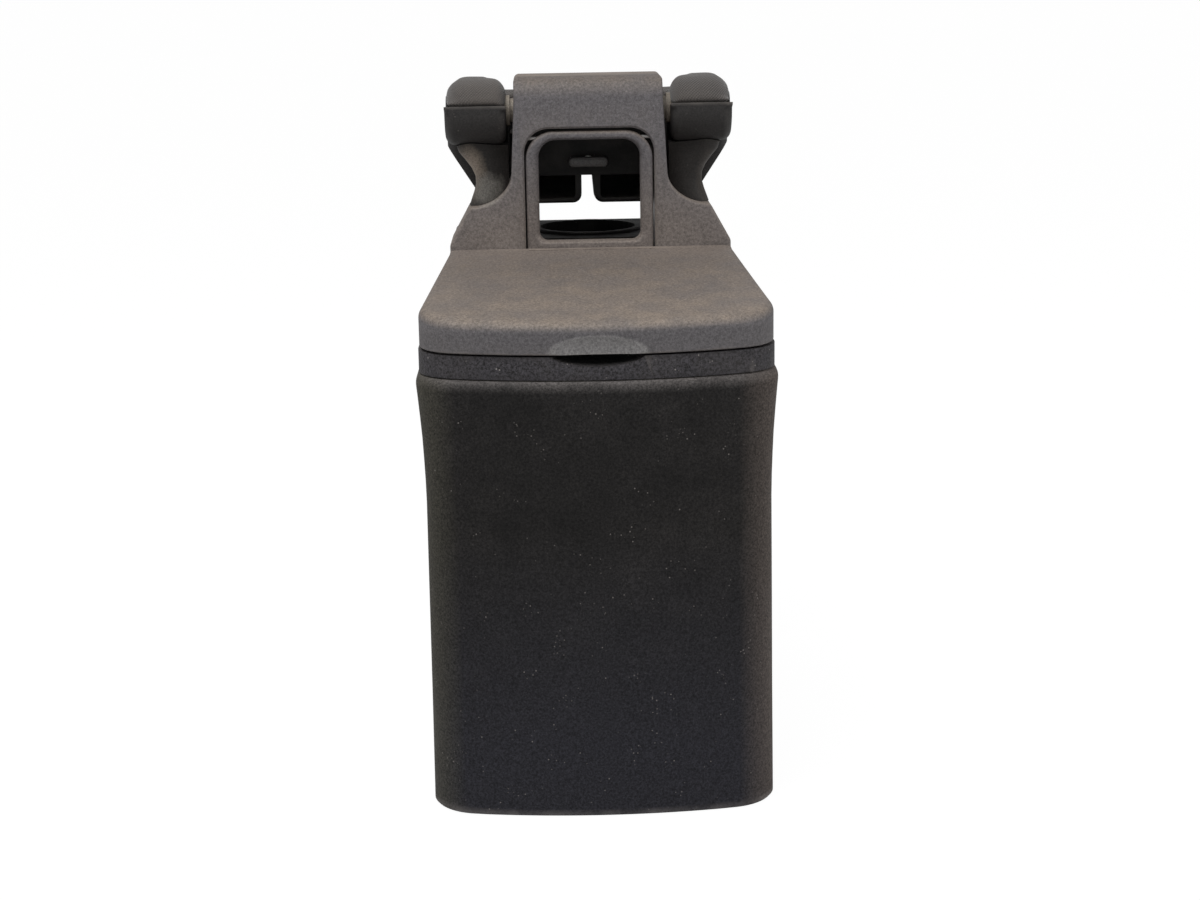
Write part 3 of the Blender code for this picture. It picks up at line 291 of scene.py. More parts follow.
SUPPORT_PLASTIC = grained_plastic(
    "support_plastic", (0.020, 0.018, 0.017), (0.060, 0.052, 0.045), 0.6, grain=1500.0,
    depth=0.00012, rough=0.52, speck=0.2, wear=0.35, shine=0.2, marks=SUPPORT_PAINTED_HIGHLIGHTS_AND_PATCH)
INNER_PLASTIC = grained_plastic(
    "inner_plastic", (0.0085, 0.0085, 0.0088), (0.034, 0.030, 0.028), 0.4, grain=1500.0,
    depth=0.00010, rough=0.48, speck=0.15, wear=0.3, shine=0.15)
# The bar is a lighter plastic, and its grey is lifted further as painted light, to make up for the shade
# it sits in.
BAR_PLASTIC = grained_plastic(
    "bar_plastic", (0.098, 0.096, 0.096), (0.080, 0.074, 0.070), 0.5, grain=1500.0,
    depth=0.00010, rough=0.45, speck=0.15, wear=0.3)
TUBE_FINISH = grained_plastic(
    "aged_sleeve", (0.205, 0.178, 0.148), (0.30, 0.26, 0.21), 0.6, grain=1500.0,
    depth=0.00008, rough=0.50, speck=0.1, wear=0.2)
for look in (CONSOLE_PLASTIC, BIN_PLASTIC, COLLAR_PLASTIC, NOSE_PLASTIC, SUPPORT_PLASTIC,
             INNER_PLASTIC, BAR_PLASTIC, TUBE_FINISH):
    print(look.name, "nodes:", len(look.node_tree.nodes))

# %% [markdown]
# ## Metal, rubber and cloth
# Pressed steel shows faint rolling lines, zinc plating is warmer and cloudy, and rubber is dull and
# slightly dusty. The cloth on the arms is a fine diagonal twill. Its threads follow the pad round
# the nose, so they read an attribute that is stored on the pad's own points.

# %% Metals and rubber
def worn_metal(name, colour, dirt, rough, lines):
    """Metal with rolling lines in its bump and its roughness, and dirt in clouds."""
    made, tree, shader, place = new_material(name)
    spot = place.outputs["Object"]
    clouds = noise(tree, spot, 38.0, 6.0, 0.65)
    stretch = node(tree, "ShaderNodeMapping", Vector=spot, Scale=(40.0, lines, lines))
    rolled = noise(tree, stretch.outputs[0], 1.0, 3.0)
    dirty = remap(tree, clouds, 0.42, 0.72, 0.0, 0.75)
    plug(tree, shader, Base_Color=blend_colour(tree, dirty, colour, dirt), Metallic=1.0,
         Roughness=remap(tree, rolled, 0.3, 0.7, rough - 0.08, rough + 0.16),
         Normal=bumped(tree, 0.3, 0.00008, rolled))
    return made


STEEL = worn_metal("pressed_steel", (0.40, 0.39, 0.38), (0.16, 0.13, 0.11), 0.38, 900.0)
ZINC = worn_metal("zinc_steel", (0.56, 0.52, 0.44), (0.30, 0.25, 0.19), 0.42, 600.0)
RUBBER = grained_plastic(
    "rubber", (0.018, 0.018, 0.018), (0.070, 0.065, 0.060), 0.5, grain=700.0, depth=0.00010,
    rough=0.78, speck=0.1, wear=0.1)
print("metals made:", STEEL.name, ZINC.name)

# %% Twill cloth
THREAD_PITCH = 0.0016
# At a scale of one, the wave texture repeats every 2 pi / 20.
WAVE_SCALE = 2 * pi / THREAD_PITCH / 20
TWILL_ANGLES = (42.0, -48.0)


def twill_cloth(name, colour, light, dusty):
    """Two sets of crossing ribs, one stronger than the other, with fluff and slight soiling."""
    made, tree, shader, place = new_material(name)
    cloth = node(tree, "ShaderNodeAttribute", {"attribute_name": "cloth"}).outputs["Vector"]
    ribs = []
    for angle in TWILL_ANGLES:
        lay = node(tree, "ShaderNodeMapping", Vector=cloth, Rotation=(0.0, 0.0, radians(angle)))
        wave = node(tree, "ShaderNodeTexWave", Vector=lay.outputs[0], Scale=WAVE_SCALE,
                    Distortion=0.6, Detail=1.0, Detail_Scale=2.0)
        ribs.append(wave.outputs["Fac"])
    weave = blend_colour(tree, 0.28, ribs[0], ribs[1])
    spot = place.outputs["Object"]
    clouds = noise(tree, spot, 26.0, 5.0, 0.6)
    fluff = noise(tree, spot, 2200.0, 2.0)
    threads = blend_colour(tree, weave, colour, light)
    soiled = blend_colour(tree, remap(tree, clouds, 0.40, 0.68, 0.0, 0.7), threads, dusty)
    fuzzy = node(tree, "ShaderNodeVectorMath", {"operation": "SCALE"}, Vector=soiled,
                 Scale=remap(tree, fluff, 0.3, 0.7, 0.72, 1.28))
    height = blend_colour(tree, 0.25, weave, fluff)
    plug(tree, shader, Base_Color=fuzzy.outputs[0], Normal=bumped(tree, 0.9, 0.00035, height),
         Roughness=0.92, Sheen_Weight=0.25, Sheen_Roughness=0.5)
    return made


CLOTH = twill_cloth("twill_cloth", colour=(0.020, 0.017, 0.016), light=(0.097, 0.088, 0.083),
                    dusty=(0.077, 0.066, 0.058))
print("cloth thread pitch in mm:", THREAD_PITCH * 1000)

# %% [markdown]
# ## Shape helpers
# Every piece is drawn with distances back from the foremost point of the bin face, which is how the
# moulding would be dimensioned, and is shifted to the frame when it is finished. Two kinds of shape
# cover nearly all of them: an outline with a thickness, and rings of points joined into a skin.

# %% Outlines
FACE_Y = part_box("housing")[0].y


def rounded(corners, steps=8):
    """Points of an outline through corners (x, y, radius), the round ones turned as arcs."""
    points = []
    for index, (x, y, radius) in enumerate(corners):
        here = Vector((x, y))
        if radius <= 0:
            points.append((x, y))
            continue
        before = (Vector(corners[index - 1][:2]) - here).normalized()
        after = (Vector(corners[(index + 1) % len(corners)][:2]) - here).normalized()
        half = acos(max(-1.0, min(1.0, before.dot(after)))) / 2
        centre = here + (before + after).normalized() * (radius / sin(half))
        start = here + before * (radius / tan(half)) - centre
        end = here + after * (radius / tan(half)) - centre
        first = atan2(start.y, start.x)
        sweep = (atan2(end.y, end.x) - first + pi) % (2 * pi) - pi
        for step in range(steps + 1):
            angle = first + sweep * step / steps
            points.append((centre.x + radius * cos(angle), centre.y + radius * sin(angle)))
    return points


def arc(centre, radius, start, end, steps):
    """Points on a circle from one angle to another, in degrees."""
    angles = [radians(start + (end - start) * step / steps) for step in range(steps + 1)]
    return [(centre[0] + radius * cos(a), centre[1] + radius * sin(a)) for a in angles]


def circle(centre, radius, steps=48):
    """A full circle."""
    return arc(centre, radius, 0, 360, steps)[:-1]

# %% Solids
def new_object(name, data):
    """An object in the scene, standing on the origin."""
    made = bpy.data.objects.new(name, data)
    bpy.context.scene.collection.objects.link(made)
    return made


def piece_from(name, shape):
    """A new object from a bmesh, with its faces turned outwards."""
    shape.normal_update()
    bmesh.ops.recalc_face_normals(shape, faces=shape.faces)
    if shape.calc_volume(signed=True) < 0:
        bmesh.ops.reverse_faces(shape, faces=shape.faces)
    mesh = bpy.data.meshes.new(name)
    shape.to_mesh(mesh)
    shape.free()
    return new_object(name, mesh)


def plate(name, outline, low, high, plane="XY", holes=()):
    """A flat outline with a thickness. The plane names the outline's own two axes."""
    curve = bpy.data.curves.new(name, "CURVE")
    curve.dimensions = "2D"
    curve.fill_mode = "BOTH"
    curve.extrude = (high - low) / 2
    for ring in (outline, *holes):
        spline = curve.splines.new("POLY")
        spline.points.add(len(ring) - 1)
        for point, (x, y) in zip(spline.points, ring):
            point.co = (x, y, 0, 1)
        spline.use_cyclic_u = True
    guide = new_object(name, curve)
    bpy.context.view_layer.update()
    flat = bpy.data.meshes.new_from_object(guide.evaluated_get(bpy.context.evaluated_depsgraph_get()))
    shape = bmesh.new()
    shape.from_mesh(flat)
    bpy.data.objects.remove(guide, do_unlink=True)
    bmesh.ops.remove_doubles(shape, verts=shape.verts, dist=0.00001)
    bmesh.ops.dissolve_limit(shape, angle_limit=0.001, verts=shape.verts, edges=shape.edges)
    for vertex in shape.verts:
        x, y, away = vertex.co
        away += (low + high) / 2
        vertex.co = {"XY": (x, y, away), "XZ": (x, away, y), "YZ": (away, x, y)}[plane]
    return piece_from(name, shape)


def skin(name, rings, loop=False):
    """Rings of 3-D points joined into a closed skin. A ring of one point is a pole.

    In a loop the last ring is joined to the first. Otherwise the end rings are filled in.
    """
    shape = bmesh.new()
    rows = [[shape.verts.new(point) for point in ring] for ring in rings]
    for row, following in zip(rows, rows[1:] + (rows[:1] if loop else [])):
        count = max(len(row), len(following))
        for index in range(count):
            corners = []
            for line, step in ((row, 0), (row, 1), (following, 1), (following, 0)):
                corner = line[(index + step) % len(line)]
                if corner not in corners:
                    corners.append(corner)
            if len(corners) > 2:
                shape.faces.new(corners)
    for row in (rows[0], rows[-1]):
        if not loop and len(row) > 2:
            shape.faces.new(row)
    return piece_from(name, shape)


def bar(name, radius, start, end, steps=40):
    """A round bar from one point to another, as a tool or a piece."""
    start, end = Vector(start), Vector(end)
    spin = (end - start).to_track_quat("Z", "Y").to_matrix().to_4x4()
    shape = bmesh.new()
    bmesh.ops.create_cone(shape, cap_ends=True, segments=steps, radius1=radius, radius2=radius,
                          depth=(end - start).length, matrix=Matrix.Translation((start + end) / 2) @ spin)
    return piece_from(name, shape)


def bake(piece):
    """Turn the piece's modifiers into plain mesh."""
    bpy.context.view_layer.update()
    seen = piece.evaluated_get(bpy.context.evaluated_depsgraph_get())
    mesh = bpy.data.meshes.new_from_object(seen)
    piece.modifiers.clear()
    piece.data = mesh
    return piece


def carve(piece, tool, operation="DIFFERENCE"):
    """Cut a tool out of a piece, or join it on, and drop the tool."""
    change = piece.modifiers.new("carve", "BOOLEAN")
    change.operation = operation
    change.object = tool
    change.solver = "EXACT"
    bake(piece)
    bpy.data.objects.remove(tool, do_unlink=True)
    return piece


@contextmanager
def opened(piece):
    """The piece's mesh, open for editing and put back afterwards."""
    shape = bmesh.new()
    shape.from_mesh(piece.data)
    yield shape
    shape.to_mesh(piece.data)
    shape.free()


def round_edges(piece, width, segments, pick):
    """Round the sharp edges whose two ends pass a test."""
    with opened(piece) as shape:
        edges = [edge for edge in shape.edges
                 if edge.calc_face_angle(0) > radians(35) and all(pick(v.co) for v in edge.verts)]
        bmesh.ops.bevel(shape, geom=edges, offset=width, segments=segments, profile=0.5,
                        affect="EDGES")
    return piece


def soften(piece, width, segments=2, sharp=38):
    """Break every sharp edge slightly, as a moulding tool does."""
    with opened(piece) as shape:
        bmesh.ops.remove_doubles(shape, verts=shape.verts, dist=0.00002)
        bmesh.ops.dissolve_limit(shape, angle_limit=radians(0.5), verts=shape.verts, edges=shape.edges)
    edge = piece.modifiers.new("soften", "BEVEL")
    edge.width = width
    edge.segments = segments
    edge.limit_method = "ANGLE"
    edge.angle_limit = radians(sharp)
    return bake(piece)


def finish(piece, look, body, stands_for, smooth=32):
    """Shift the piece to the frame, shade it, give it its material and its body."""
    for vertex in piece.data.vertices:
        vertex.co.y += FACE_Y
    piece.data.materials.clear()
    piece.data.materials.append(look)
    piece.data.shade_smooth()
    piece.data.set_sharp_from_angle(angle=radians(smooth))
    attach(piece, body)
    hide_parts(*stands_for)
    print(piece.name, "faces:", len(piece.data.polygons))
    return piece


def lift(points, height):
    """A plan outline as a ring of 3-D points at one height."""
    return [(x, y, height) for x, y in points]

# %% [markdown]
# ## Lower body
# The bin's outer moulding is one deep tub. Its sides draw in below the rim and then fall almost
# straight, and its front bows out more at the rim than at the foot. Both are only changes of one
# plan with height, so rings at many heights give the whole surface, the rolled rim and the inner
# wall.

# %% Lower body
BODY_DEPTH = 0.345
RIM_HEIGHT = 0.286
BODY_WALL = 0.003
FOOT_BOW, RIM_BOW = 0.013, 0.022
BOW_STEPS = 28
BODY_CORNER, BODY_REAR_CORNER = 0.036, 0.020
RIM_ROLL = 0.0085
RIM_ROLL_STEPS = 8
# Each station: its height and the lower body's width there.
WIDTH_AT = [(0.0, 0.2236), (0.0767, 0.2226), (0.1459, 0.2222), (0.2084, 0.2218), (0.2400, 0.2242),
            (0.2620, 0.2276), (0.2760, 0.2302), (0.2860, 0.2325)]


def body_width(height):
    """Width of the lower body at a height, changing evenly between its stations."""
    for (low, first), (high, second) in zip(WIDTH_AT, WIDTH_AT[1:]):
        if height <= high:
            share = (height - low) / (high - low)
            return first + (second - first) * share
    return WIDTH_AT[-1][1]


def body_plan(front_half, rear_half, front, rear, front_corner, rear_corner, bow=RIM_BOW):
    """A plan with a bowed front edge between round corners."""
    straight = front_half - front_corner
    across = [straight * (2 * step / BOW_STEPS - 1) for step in range(BOW_STEPS + 1)]
    corners = [(-rear_half, rear, rear_corner), (-front_half, front + bow, front_corner * 0.9)]
    corners += [(x, front + bow * (x / front_half) ** 2, 0) for x in across]
    corners += [(front_half, front + bow, front_corner * 0.9), (rear_half, rear, rear_corner)]
    return rounded(corners, 16)


def tub_ring(height, inset):
    """The lower body's plan at a height, drawn in by an inset."""
    half = body_width(height) / 2 - inset
    bow = FOOT_BOW + (RIM_BOW - FOOT_BOW) * (height / RIM_HEIGHT) ** 1.5
    front_corner, rear_corner = BODY_CORNER - inset * 0.5, BODY_REAR_CORNER - inset * 0.5
    return lift(body_plan(half, half, inset, BODY_DEPTH - inset, front_corner, rear_corner, bow), height)


rings = [tub_ring(0.0, 0.0030), tub_ring(0.0006, 0.0012), tub_ring(0.0022, 0.0)]
rings += [tub_ring(0.006 + 0.014 * step, 0.0) for step in range(20)]
for step in range(RIM_ROLL_STEPS + 1):
    angle = pi / 2 * step / RIM_ROLL_STEPS
    height = RIM_HEIGHT - RIM_ROLL * (1 - sin(angle))
    rings.append(tub_ring(height, RIM_ROLL * (1 - cos(angle)) * 0.60))
for height, inset in ((RIM_HEIGHT - 0.0004, 0.0007), (RIM_HEIGHT - 0.02, 0.0009), (BODY_WALL, 0.0006)):
    rings.append(tub_ring(height, BODY_WALL + inset))
tub = skin("bin_body", rings)
finish(tub, BIN_PLASTIC, "base", ["housing"], 50)

# %% [markdown]
# ## Collar
# A dark frame sits on the rim. Its front edge is scooped out in the middle, so that fingers can get
# under the lid. A stretched ball cuts the hollow, deeply here and later more shallowly in the lid.

# %% Collar
COLLAR_INSET = 0.003
COLLAR_LOW = 0.2864
COLLAR_TOP = 0.301
COLLAR_CORNER, COLLAR_REAR_CORNER = 0.0345, 0.0185
LID_LOW = 0.3024
GRIP_HALF = 0.0312
# Each opening: its half width, its front, its rear and its corner radius.
BIN_OPENING = (0.088, 0.031, 0.168, 0.014)
REAR_OPENING = (0.092, 0.189, 0.324, 0.005)


def ball(name, centre, half_sizes):
    """A stretched ball, used as a cutter."""
    shape = bmesh.new()
    bmesh.ops.create_uvsphere(shape, u_segments=64, v_segments=32, radius=1,
                              matrix=Matrix.Translation(centre) @ Matrix.Diagonal((*half_sizes, 1)))
    return piece_from(name, shape)


def scoop(above, below, depth):
    """The finger scoop, reaching so far above and below the lid's lower edge."""
    middle = (above - below) / 2
    return ball("scoop", (0, depth * 0.1, LID_LOW + middle), (GRIP_HALF, depth, (above + below) / 2))


def box(half, low, high, low_round=0, high_round=0, steps=8):
    """An upright or level oblong from two heights or distances, with round corners."""
    return rounded([(-half, low, low_round), (half, low, low_round),
                    (half, high, high_round), (-half, high, high_round)], steps)


half = WIDTH_AT[-1][1] / 2 - COLLAR_INSET
plan = body_plan(half, half, COLLAR_INSET, BODY_DEPTH - COLLAR_INSET, COLLAR_CORNER, COLLAR_REAR_CORNER)
openings = [box(wide, front, back, corner, corner)
            for wide, front, back, corner in (BIN_OPENING, REAR_OPENING)]
collar = plate("collar_frame", plan, COLLAR_LOW, COLLAR_TOP, "XY", openings)
carve(collar, scoop(0.010, 0.0074, 0.0160))
soften(collar, 0.0006)
finish(collar, COLLAR_PLASTIC, "base", ["collar"])

# %% [markdown]
# ## Lid
# The lid is a shallow shell that slopes up to the rear, with a soft rounding between its top and its
# skirt. Because the plan is convex, rings drawn in from its edge close neatly over the top: the
# outer ones follow the rounding, and the inner ones shrink towards the middle with a slight crown.

# %% Lid shell
LID_REAR = 0.181
LID_WALL = 0.003
LID_LIP = 0.011
LID_HALF, LID_REAR_HALF = 0.1153, 0.0968
LID_FRONT = 0.0015
LID_CORNER, LID_REAR_CORNER = 0.036, 0.004
LID_FRONT_RISE, LID_SLOPE_RISE = 0.0190, 0.0235
LID_MIDDLE = 0.092
EDGE_RADIUS = 0.0062
CROWN = 0.0011
CROWN_HALF = 0.098


def lid_plan(side, front, rear):
    """Plan of the lid, drawn in from its edges."""
    return body_plan(LID_HALF - side, LID_REAR_HALF - side, LID_FRONT + front, LID_REAR - rear,
                     LID_CORNER - side, LID_REAR_CORNER)


def lid_top(x, back):
    """Height of the lid's top, crowned across its middle. The crown fades at front and rear."""
    slope = LID_LOW + LID_FRONT_RISE + LID_SLOPE_RISE * back / LID_REAR
    fade = min(1.0, back / 0.05) * min(1.0, (LID_REAR - back) / 0.03)
    return slope + CROWN * max(0.0, 1 - (x / CROWN_HALF) ** 2) * fade


def edge_drop(inset, back):
    """How far the rounded edge lies below the top. It fades out at the rear, against the column."""
    short = max(0.0, EDGE_RADIUS - inset)
    drop = EDGE_RADIUS - sqrt(EDGE_RADIUS ** 2 - short ** 2)
    fade = max(0.12, min(1.0, (LID_REAR - 0.001 - back) / 0.006))
    return drop * fade


def top_ring(inset):
    """A ring of the rounded edge at an inset from the lid's outline."""
    return [(x, y, lid_top(x, y) - edge_drop(inset, y)) for x, y in lid_plan(inset, inset, inset * 0.15)]


rings = [[(0.0, LID_MIDDLE, lid_top(0, LID_MIDDLE) - LID_WALL)]]
under = lid_plan(LID_WALL, LID_LIP, LID_WALL)
rings.append([(x, y, lid_top(x, y) - LID_WALL - 0.0006) for x, y in under])
rings.append(lift(under, LID_LOW))
rings.append(lift(lid_plan(0.0010, 0.0010, 0.0004), LID_LOW))
rings.append(lift(lid_plan(0.0002, 0.0002, 0.0), LID_LOW + 0.0007))
rings.append(lift(lid_plan(0.0, 0.0, 0.0), LID_LOW + 0.0018))
for step in range(11):
    rings.append(top_ring(EDGE_RADIUS * (1 - cos(pi / 2 * step / 10))))
last = rings[-1]
for share in (0.93, 0.85, 0.75, 0.63, 0.5, 0.36, 0.22, 0.1):
    ring = [(x * share, LID_MIDDLE + (y - LID_MIDDLE) * share) for x, y, _ in last]
    rings.append([(x, y, lid_top(x, y)) for x, y in ring])
rings.append([(0.0, LID_MIDDLE, lid_top(0, LID_MIDDLE))])
lid = skin("lid_shell", rings)
carve(lid, plate("rear_notch", box(0.2, LID_REAR - 0.009, 0.19), LID_LOW - 0.01, LID_LOW + 0.0045))
print("lid points:", len(lid.data.vertices))

# %% [markdown]
# ## Tongue and window
# The lid runs up the front of the column as an arched tongue with a window. Its frame is a loop
# with soft edges: the outer outline and the window's outline have the same number of points, so
# rings between them make the front face, both roundings and the back. It is then joined to the lid.

# %% Tongue
COLUMN_FRONT = 0.182
TONGUE_HALF = 0.0435
TONGUE_TOP = 0.4243
TONGUE_DEPTH = 0.009
SILL = 0.3385
TONGUE_CORNER = 0.019
OUTER_ROUND = 0.0026
INNER_ROUND = 0.0052
WINDOW_HALF = 0.0348
WINDOW_LOW, WINDOW_HIGH = 0.3494, 0.4183
WINDOW_FOOT, WINDOW_CORNER = 0.006, 0.0118
ROOT_HALF, ROOT_TOP = 0.0429, 0.3446
PIN_BACK, PIN_HEIGHT, PIN_HOLE = 0.1865, 0.4198, 0.0018
BOSS_SIDE, BOSS_FOOT, BOSS_RADIUS = 0.070, 0.3082, 0.004


def tongue_outline(inset):
    """The tongue seen from the front, drawn in by an inset."""
    return box(TONGUE_HALF - inset, SILL, TONGUE_TOP - inset, 0.001, TONGUE_CORNER - inset, 14)


def window_outline(grow):
    """The window seen from the front. It grows less upwards and downwards than sideways."""
    return box(WINDOW_HALF + grow, WINDOW_LOW - grow * 0.45, WINDOW_HIGH + grow * 0.45,
               WINDOW_FOOT + grow * 0.6, WINDOW_CORNER + grow, 14)


def upright(points, back):
    """An outline in the XZ plane as a ring at a distance back."""
    return [(x, back, z) for x, z in points]


rear = COLUMN_FRONT + TONGUE_DEPTH
rings = [upright(tongue_outline(0.0), rear)]
for step in range(7):
    angle = pi / 2 * step / 6
    edge = tongue_outline(OUTER_ROUND * (1 - cos(angle)))
    rings.append(upright(edge, COLUMN_FRONT + OUTER_ROUND * (1 - sin(angle))))
for step in range(11):
    angle = pi / 2 * step / 10
    edge = window_outline(INNER_ROUND * (1 - sin(angle)))
    rings.append(upright(edge, COLUMN_FRONT + INNER_ROUND * 0.9 * (1 - cos(angle))))
rings.append(upright(window_outline(0.0), rear - 0.0008))
rings.append(upright(window_outline(0.0008), rear))
tongue = skin("tongue", rings, loop=True)
root = plate("tongue_root", box(ROOT_HALF, LID_REAR - 0.007, rear - 0.0006), SILL + 0.0003, ROOT_TOP)
carve(lid, root, "UNION")
carve(lid, tongue, "UNION")
carve(lid, scoop(0.0120, 0.010, 0.0042))
carve(lid, bar("pin_bore", PIN_HOLE, (-TONGUE_HALF, PIN_BACK, PIN_HEIGHT),
               (TONGUE_HALF, PIN_BACK, PIN_HEIGHT), 24))
for x in (-BOSS_SIDE, BOSS_SIDE):
    for back in (0.036, 0.150):
        boss_top = lid_top(x, back) - LID_WALL + 0.001
        carve(lid, bar("boss", BOSS_RADIUS, (x, back, BOSS_FOOT), (x, back, boss_top)), "UNION")
finish(lid, CONSOLE_PLASTIC, "lid", ["lid_skin"], 38)

# %% [markdown]
# ## Column cover
# The neck and shoulders are one moulding, open at the back. Its top front edge is a large roll, so
# the front wall is cut by level planes and leaned back near the top, each level by the amount that
# a circle gives. The outline itself has the flare from the neck to the shoulders. The arch for the
# tongue has a chamfered front edge, because the tongue's corners swing past it as the lid opens.

# %% Column cover
COLUMN_DEPTH = 0.048
COLUMN_BACK = COLUMN_FRONT + COLUMN_DEPTH
COLUMN_TOP = 0.4612
SHOULDER_EDGE = 0.3480
SHOULDER_TOP = 0.3733
FLARE_TOP = 0.3970
CROWN_SIDE, NECK_SIDE, SHOULDER_SIDE, EDGE_SIDE = 0.0509, 0.0535, 0.0830, 0.0970
FLARE_STEPS = 17
COVER_LOW, COVER_INNER_LOW = 0.3014, 0.3040
TOP_ROLL = 0.0135
EDGE_SOFT = 0.0018
COVER_WALL = 0.0026
ARCH_LOW = 0.3365
ARCH_SIDE_GAP, ARCH_TOP_GAP, ARCH_CORNER = 0.0011, 0.0020, 0.0170
ARCH_CHAMFER = 0.0014
PIVOT = (0.203, 0.438)
TUBE_HOLE = 0.0088


def cover_outline(inset, low):
    """The column and its shoulders seen from the front, drawn in by an inset."""
    top = COLUMN_TOP - inset
    crown, foot = CROWN_SIDE - inset, NECK_SIDE - inset
    rim, edge = SHOULDER_SIDE - inset * 0.6, EDGE_SIDE - inset
    drop = FLARE_TOP - SHOULDER_TOP
    flare = []
    for step in range(1, FLARE_STEPS - 1):
        angle = pi / 2 * step / FLARE_STEPS
        flare.append((rim + (foot - rim) * cos(angle), FLARE_TOP - inset - drop * sin(angle), 0))
    half = [(edge, low, 0), (edge, SHOULDER_EDGE - inset, 0.006), (rim, SHOULDER_TOP - inset, 0.005)]
    half += list(reversed(flare))
    half += [(foot, FLARE_TOP - inset, 0), (crown, top - 0.014, 0), (crown, top, 0.0036)]
    return rounded(half + [(-x, z, radius) for x, z, radius in reversed(half)], 10)


def lean_back(piece, levels=14):
    """Cut the piece by level planes under its top and lean them back to make the rolled edge."""
    with opened(piece) as shape:
        for step in range(levels + 1):
            height = COLUMN_TOP - TOP_ROLL * (1 - sin(pi / 2 * step / levels))
            bmesh.ops.bisect_plane(shape, geom=[*shape.verts, *shape.edges, *shape.faces],
                                   dist=0.000001, plane_co=(0, 0, height), plane_no=(0, 0, 1))
        for vertex in shape.verts:
            climb = vertex.co.z - (COLUMN_TOP - TOP_ROLL)
            if climb > 0:
                roll_back = TOP_ROLL - sqrt(max(0.0, TOP_ROLL ** 2 - climb ** 2))
                vertex.co.y += roll_back * (1 - (vertex.co.y - COLUMN_FRONT) / COLUMN_DEPTH)


def arch_outline(grow):
    """The opening round the tongue. Its corners are tighter than the tongue's, to clear its swing."""
    return box(TONGUE_HALF + ARCH_SIDE_GAP + grow, ARCH_LOW - grow, TONGUE_TOP + ARCH_TOP_GAP + grow,
               0.002, ARCH_CORNER + grow, 16)


rings = []
for step in range(5):
    angle = pi / 2 * step / 4
    edge = cover_outline(EDGE_SOFT * (1 - sin(angle)), COVER_LOW)
    rings.append(upright(edge, COLUMN_FRONT + EDGE_SOFT * (1 - cos(angle))))
inner = cover_outline(COVER_WALL, COVER_INNER_LOW)
rings += [upright(cover_outline(0.0, COVER_LOW), COLUMN_BACK), upright(inner, COLUMN_BACK),
          upright(inner, COLUMN_FRONT + COVER_WALL)]
cover = skin("neck_cover", rings)
lean_back(cover)
carve(cover, plate("foot_hole", box(0.093, 0.1855, 0.24), 0.29, 0.3060))
arch = arch_outline(0.0)
chamfer = skin("arch_chamfer", [upright(arch_outline(ARCH_CHAMFER + 0.001), COLUMN_FRONT - 0.001),
                                upright(arch, COLUMN_FRONT + ARCH_CHAMFER)])
carve(cover, plate("arch", arch, COLUMN_FRONT - 0.02, COLUMN_FRONT + 0.006, "XZ"))
carve(cover, chamfer)
carve(cover, plate("tube_hole", circle(PIVOT, TUBE_HOLE), -0.11, 0.11, "YZ"))
finish(cover, CONSOLE_PLASTIC, "base", ["column_cover"], 40)
print("neck cover points:", len(cover.data.vertices))

# %% [markdown]
# ## Arms
# Each arm has a plastic underside that wraps its round nose and a padded top in twill. The shell is
# two rounded slabs joined together, a narrow one at the nose and a wide one behind the column. It
# is hollow behind the step, as the photograph shows through the window.

# %% Arm outlines
NOSE = 0.023
ARM_INNER, ARM_OUTER = 0.0564, 0.0984
ARM_MIDDLE = 0.0045
REACH = 0.212
STEP = 0.044
SIDES = (("l", -1), ("r", 1))
SEAM_START = 0.0045
SEAM_SLOPE = 0.147
SHELL_WALL = 0.003
SHELL_ROUND = 0.0062
FLANK_SLOPE = 0.58
FLANK_WALL = 0.0034
BORE = 0.0106


def seam_height(back):
    """Height of the seam between pad and shell, from the pivot."""
    return SEAM_START - SEAM_SLOPE * (back + sqrt(NOSE ** 2 - SEAM_START ** 2))


def from_pivot(points):
    """Side-view points measured from the pivot, moved to their place."""
    return [(y + PIVOT[0], z + PIVOT[1]) for y, z in points]


def shell_outline():
    """The plastic underside from the side: the nose, the step down behind it and the belly."""
    nose = [(y, z, 0) for y, z in arc((0, 0), NOSE, 168.7, 310, 40)]
    under = [(STEP, -0.070, 0.010), (0.075, -0.072, 0.03), (REACH, -0.052, 0.014),
             (REACH, seam_height(REACH) + 0.0001, 0)]
    return from_pivot(rounded(nose + under, 10))


def pad_outline(inset):
    """The padded top from the side, drawn in by an inset."""
    nose = [(y, z, 0) for y, z in arc((0, 0), NOSE - inset, 166.5, 78, 30)]
    back = [(STEP + 0.006, 0.0085 - inset, 0.03), (REACH - inset, -0.010 - inset, 0.012),
            (REACH - inset, seam_height(REACH) + 0.0006, 0.002)]
    return from_pivot(rounded(nose + back, 10))


def span(sign, low, high):
    """Two sideways places on one arm, in rising order."""
    return sorted((sign * low, sign * high))

# %% Arm shells
def below_seam(co):
    """True for a point of the shell that is under its seam."""
    return co.z < PIVOT[1] + seam_height(co.y - PIVOT[0]) - 0.0015


def rounded_shell(name, sign, inner):
    """A slab of the shell from an inner side to its outer side, with its lower edges rounded."""
    made = plate(name, shell_outline(), *span(sign, inner, ARM_OUTER), "YZ")
    return round_edges(made, SHELL_ROUND, 6, below_seam)


def keep_behind(piece, back):
    """Cut away what lies in front of a distance back."""
    return carve(piece, plate("front_part", box(0.2, 0.05, back), 0.2, 0.6))


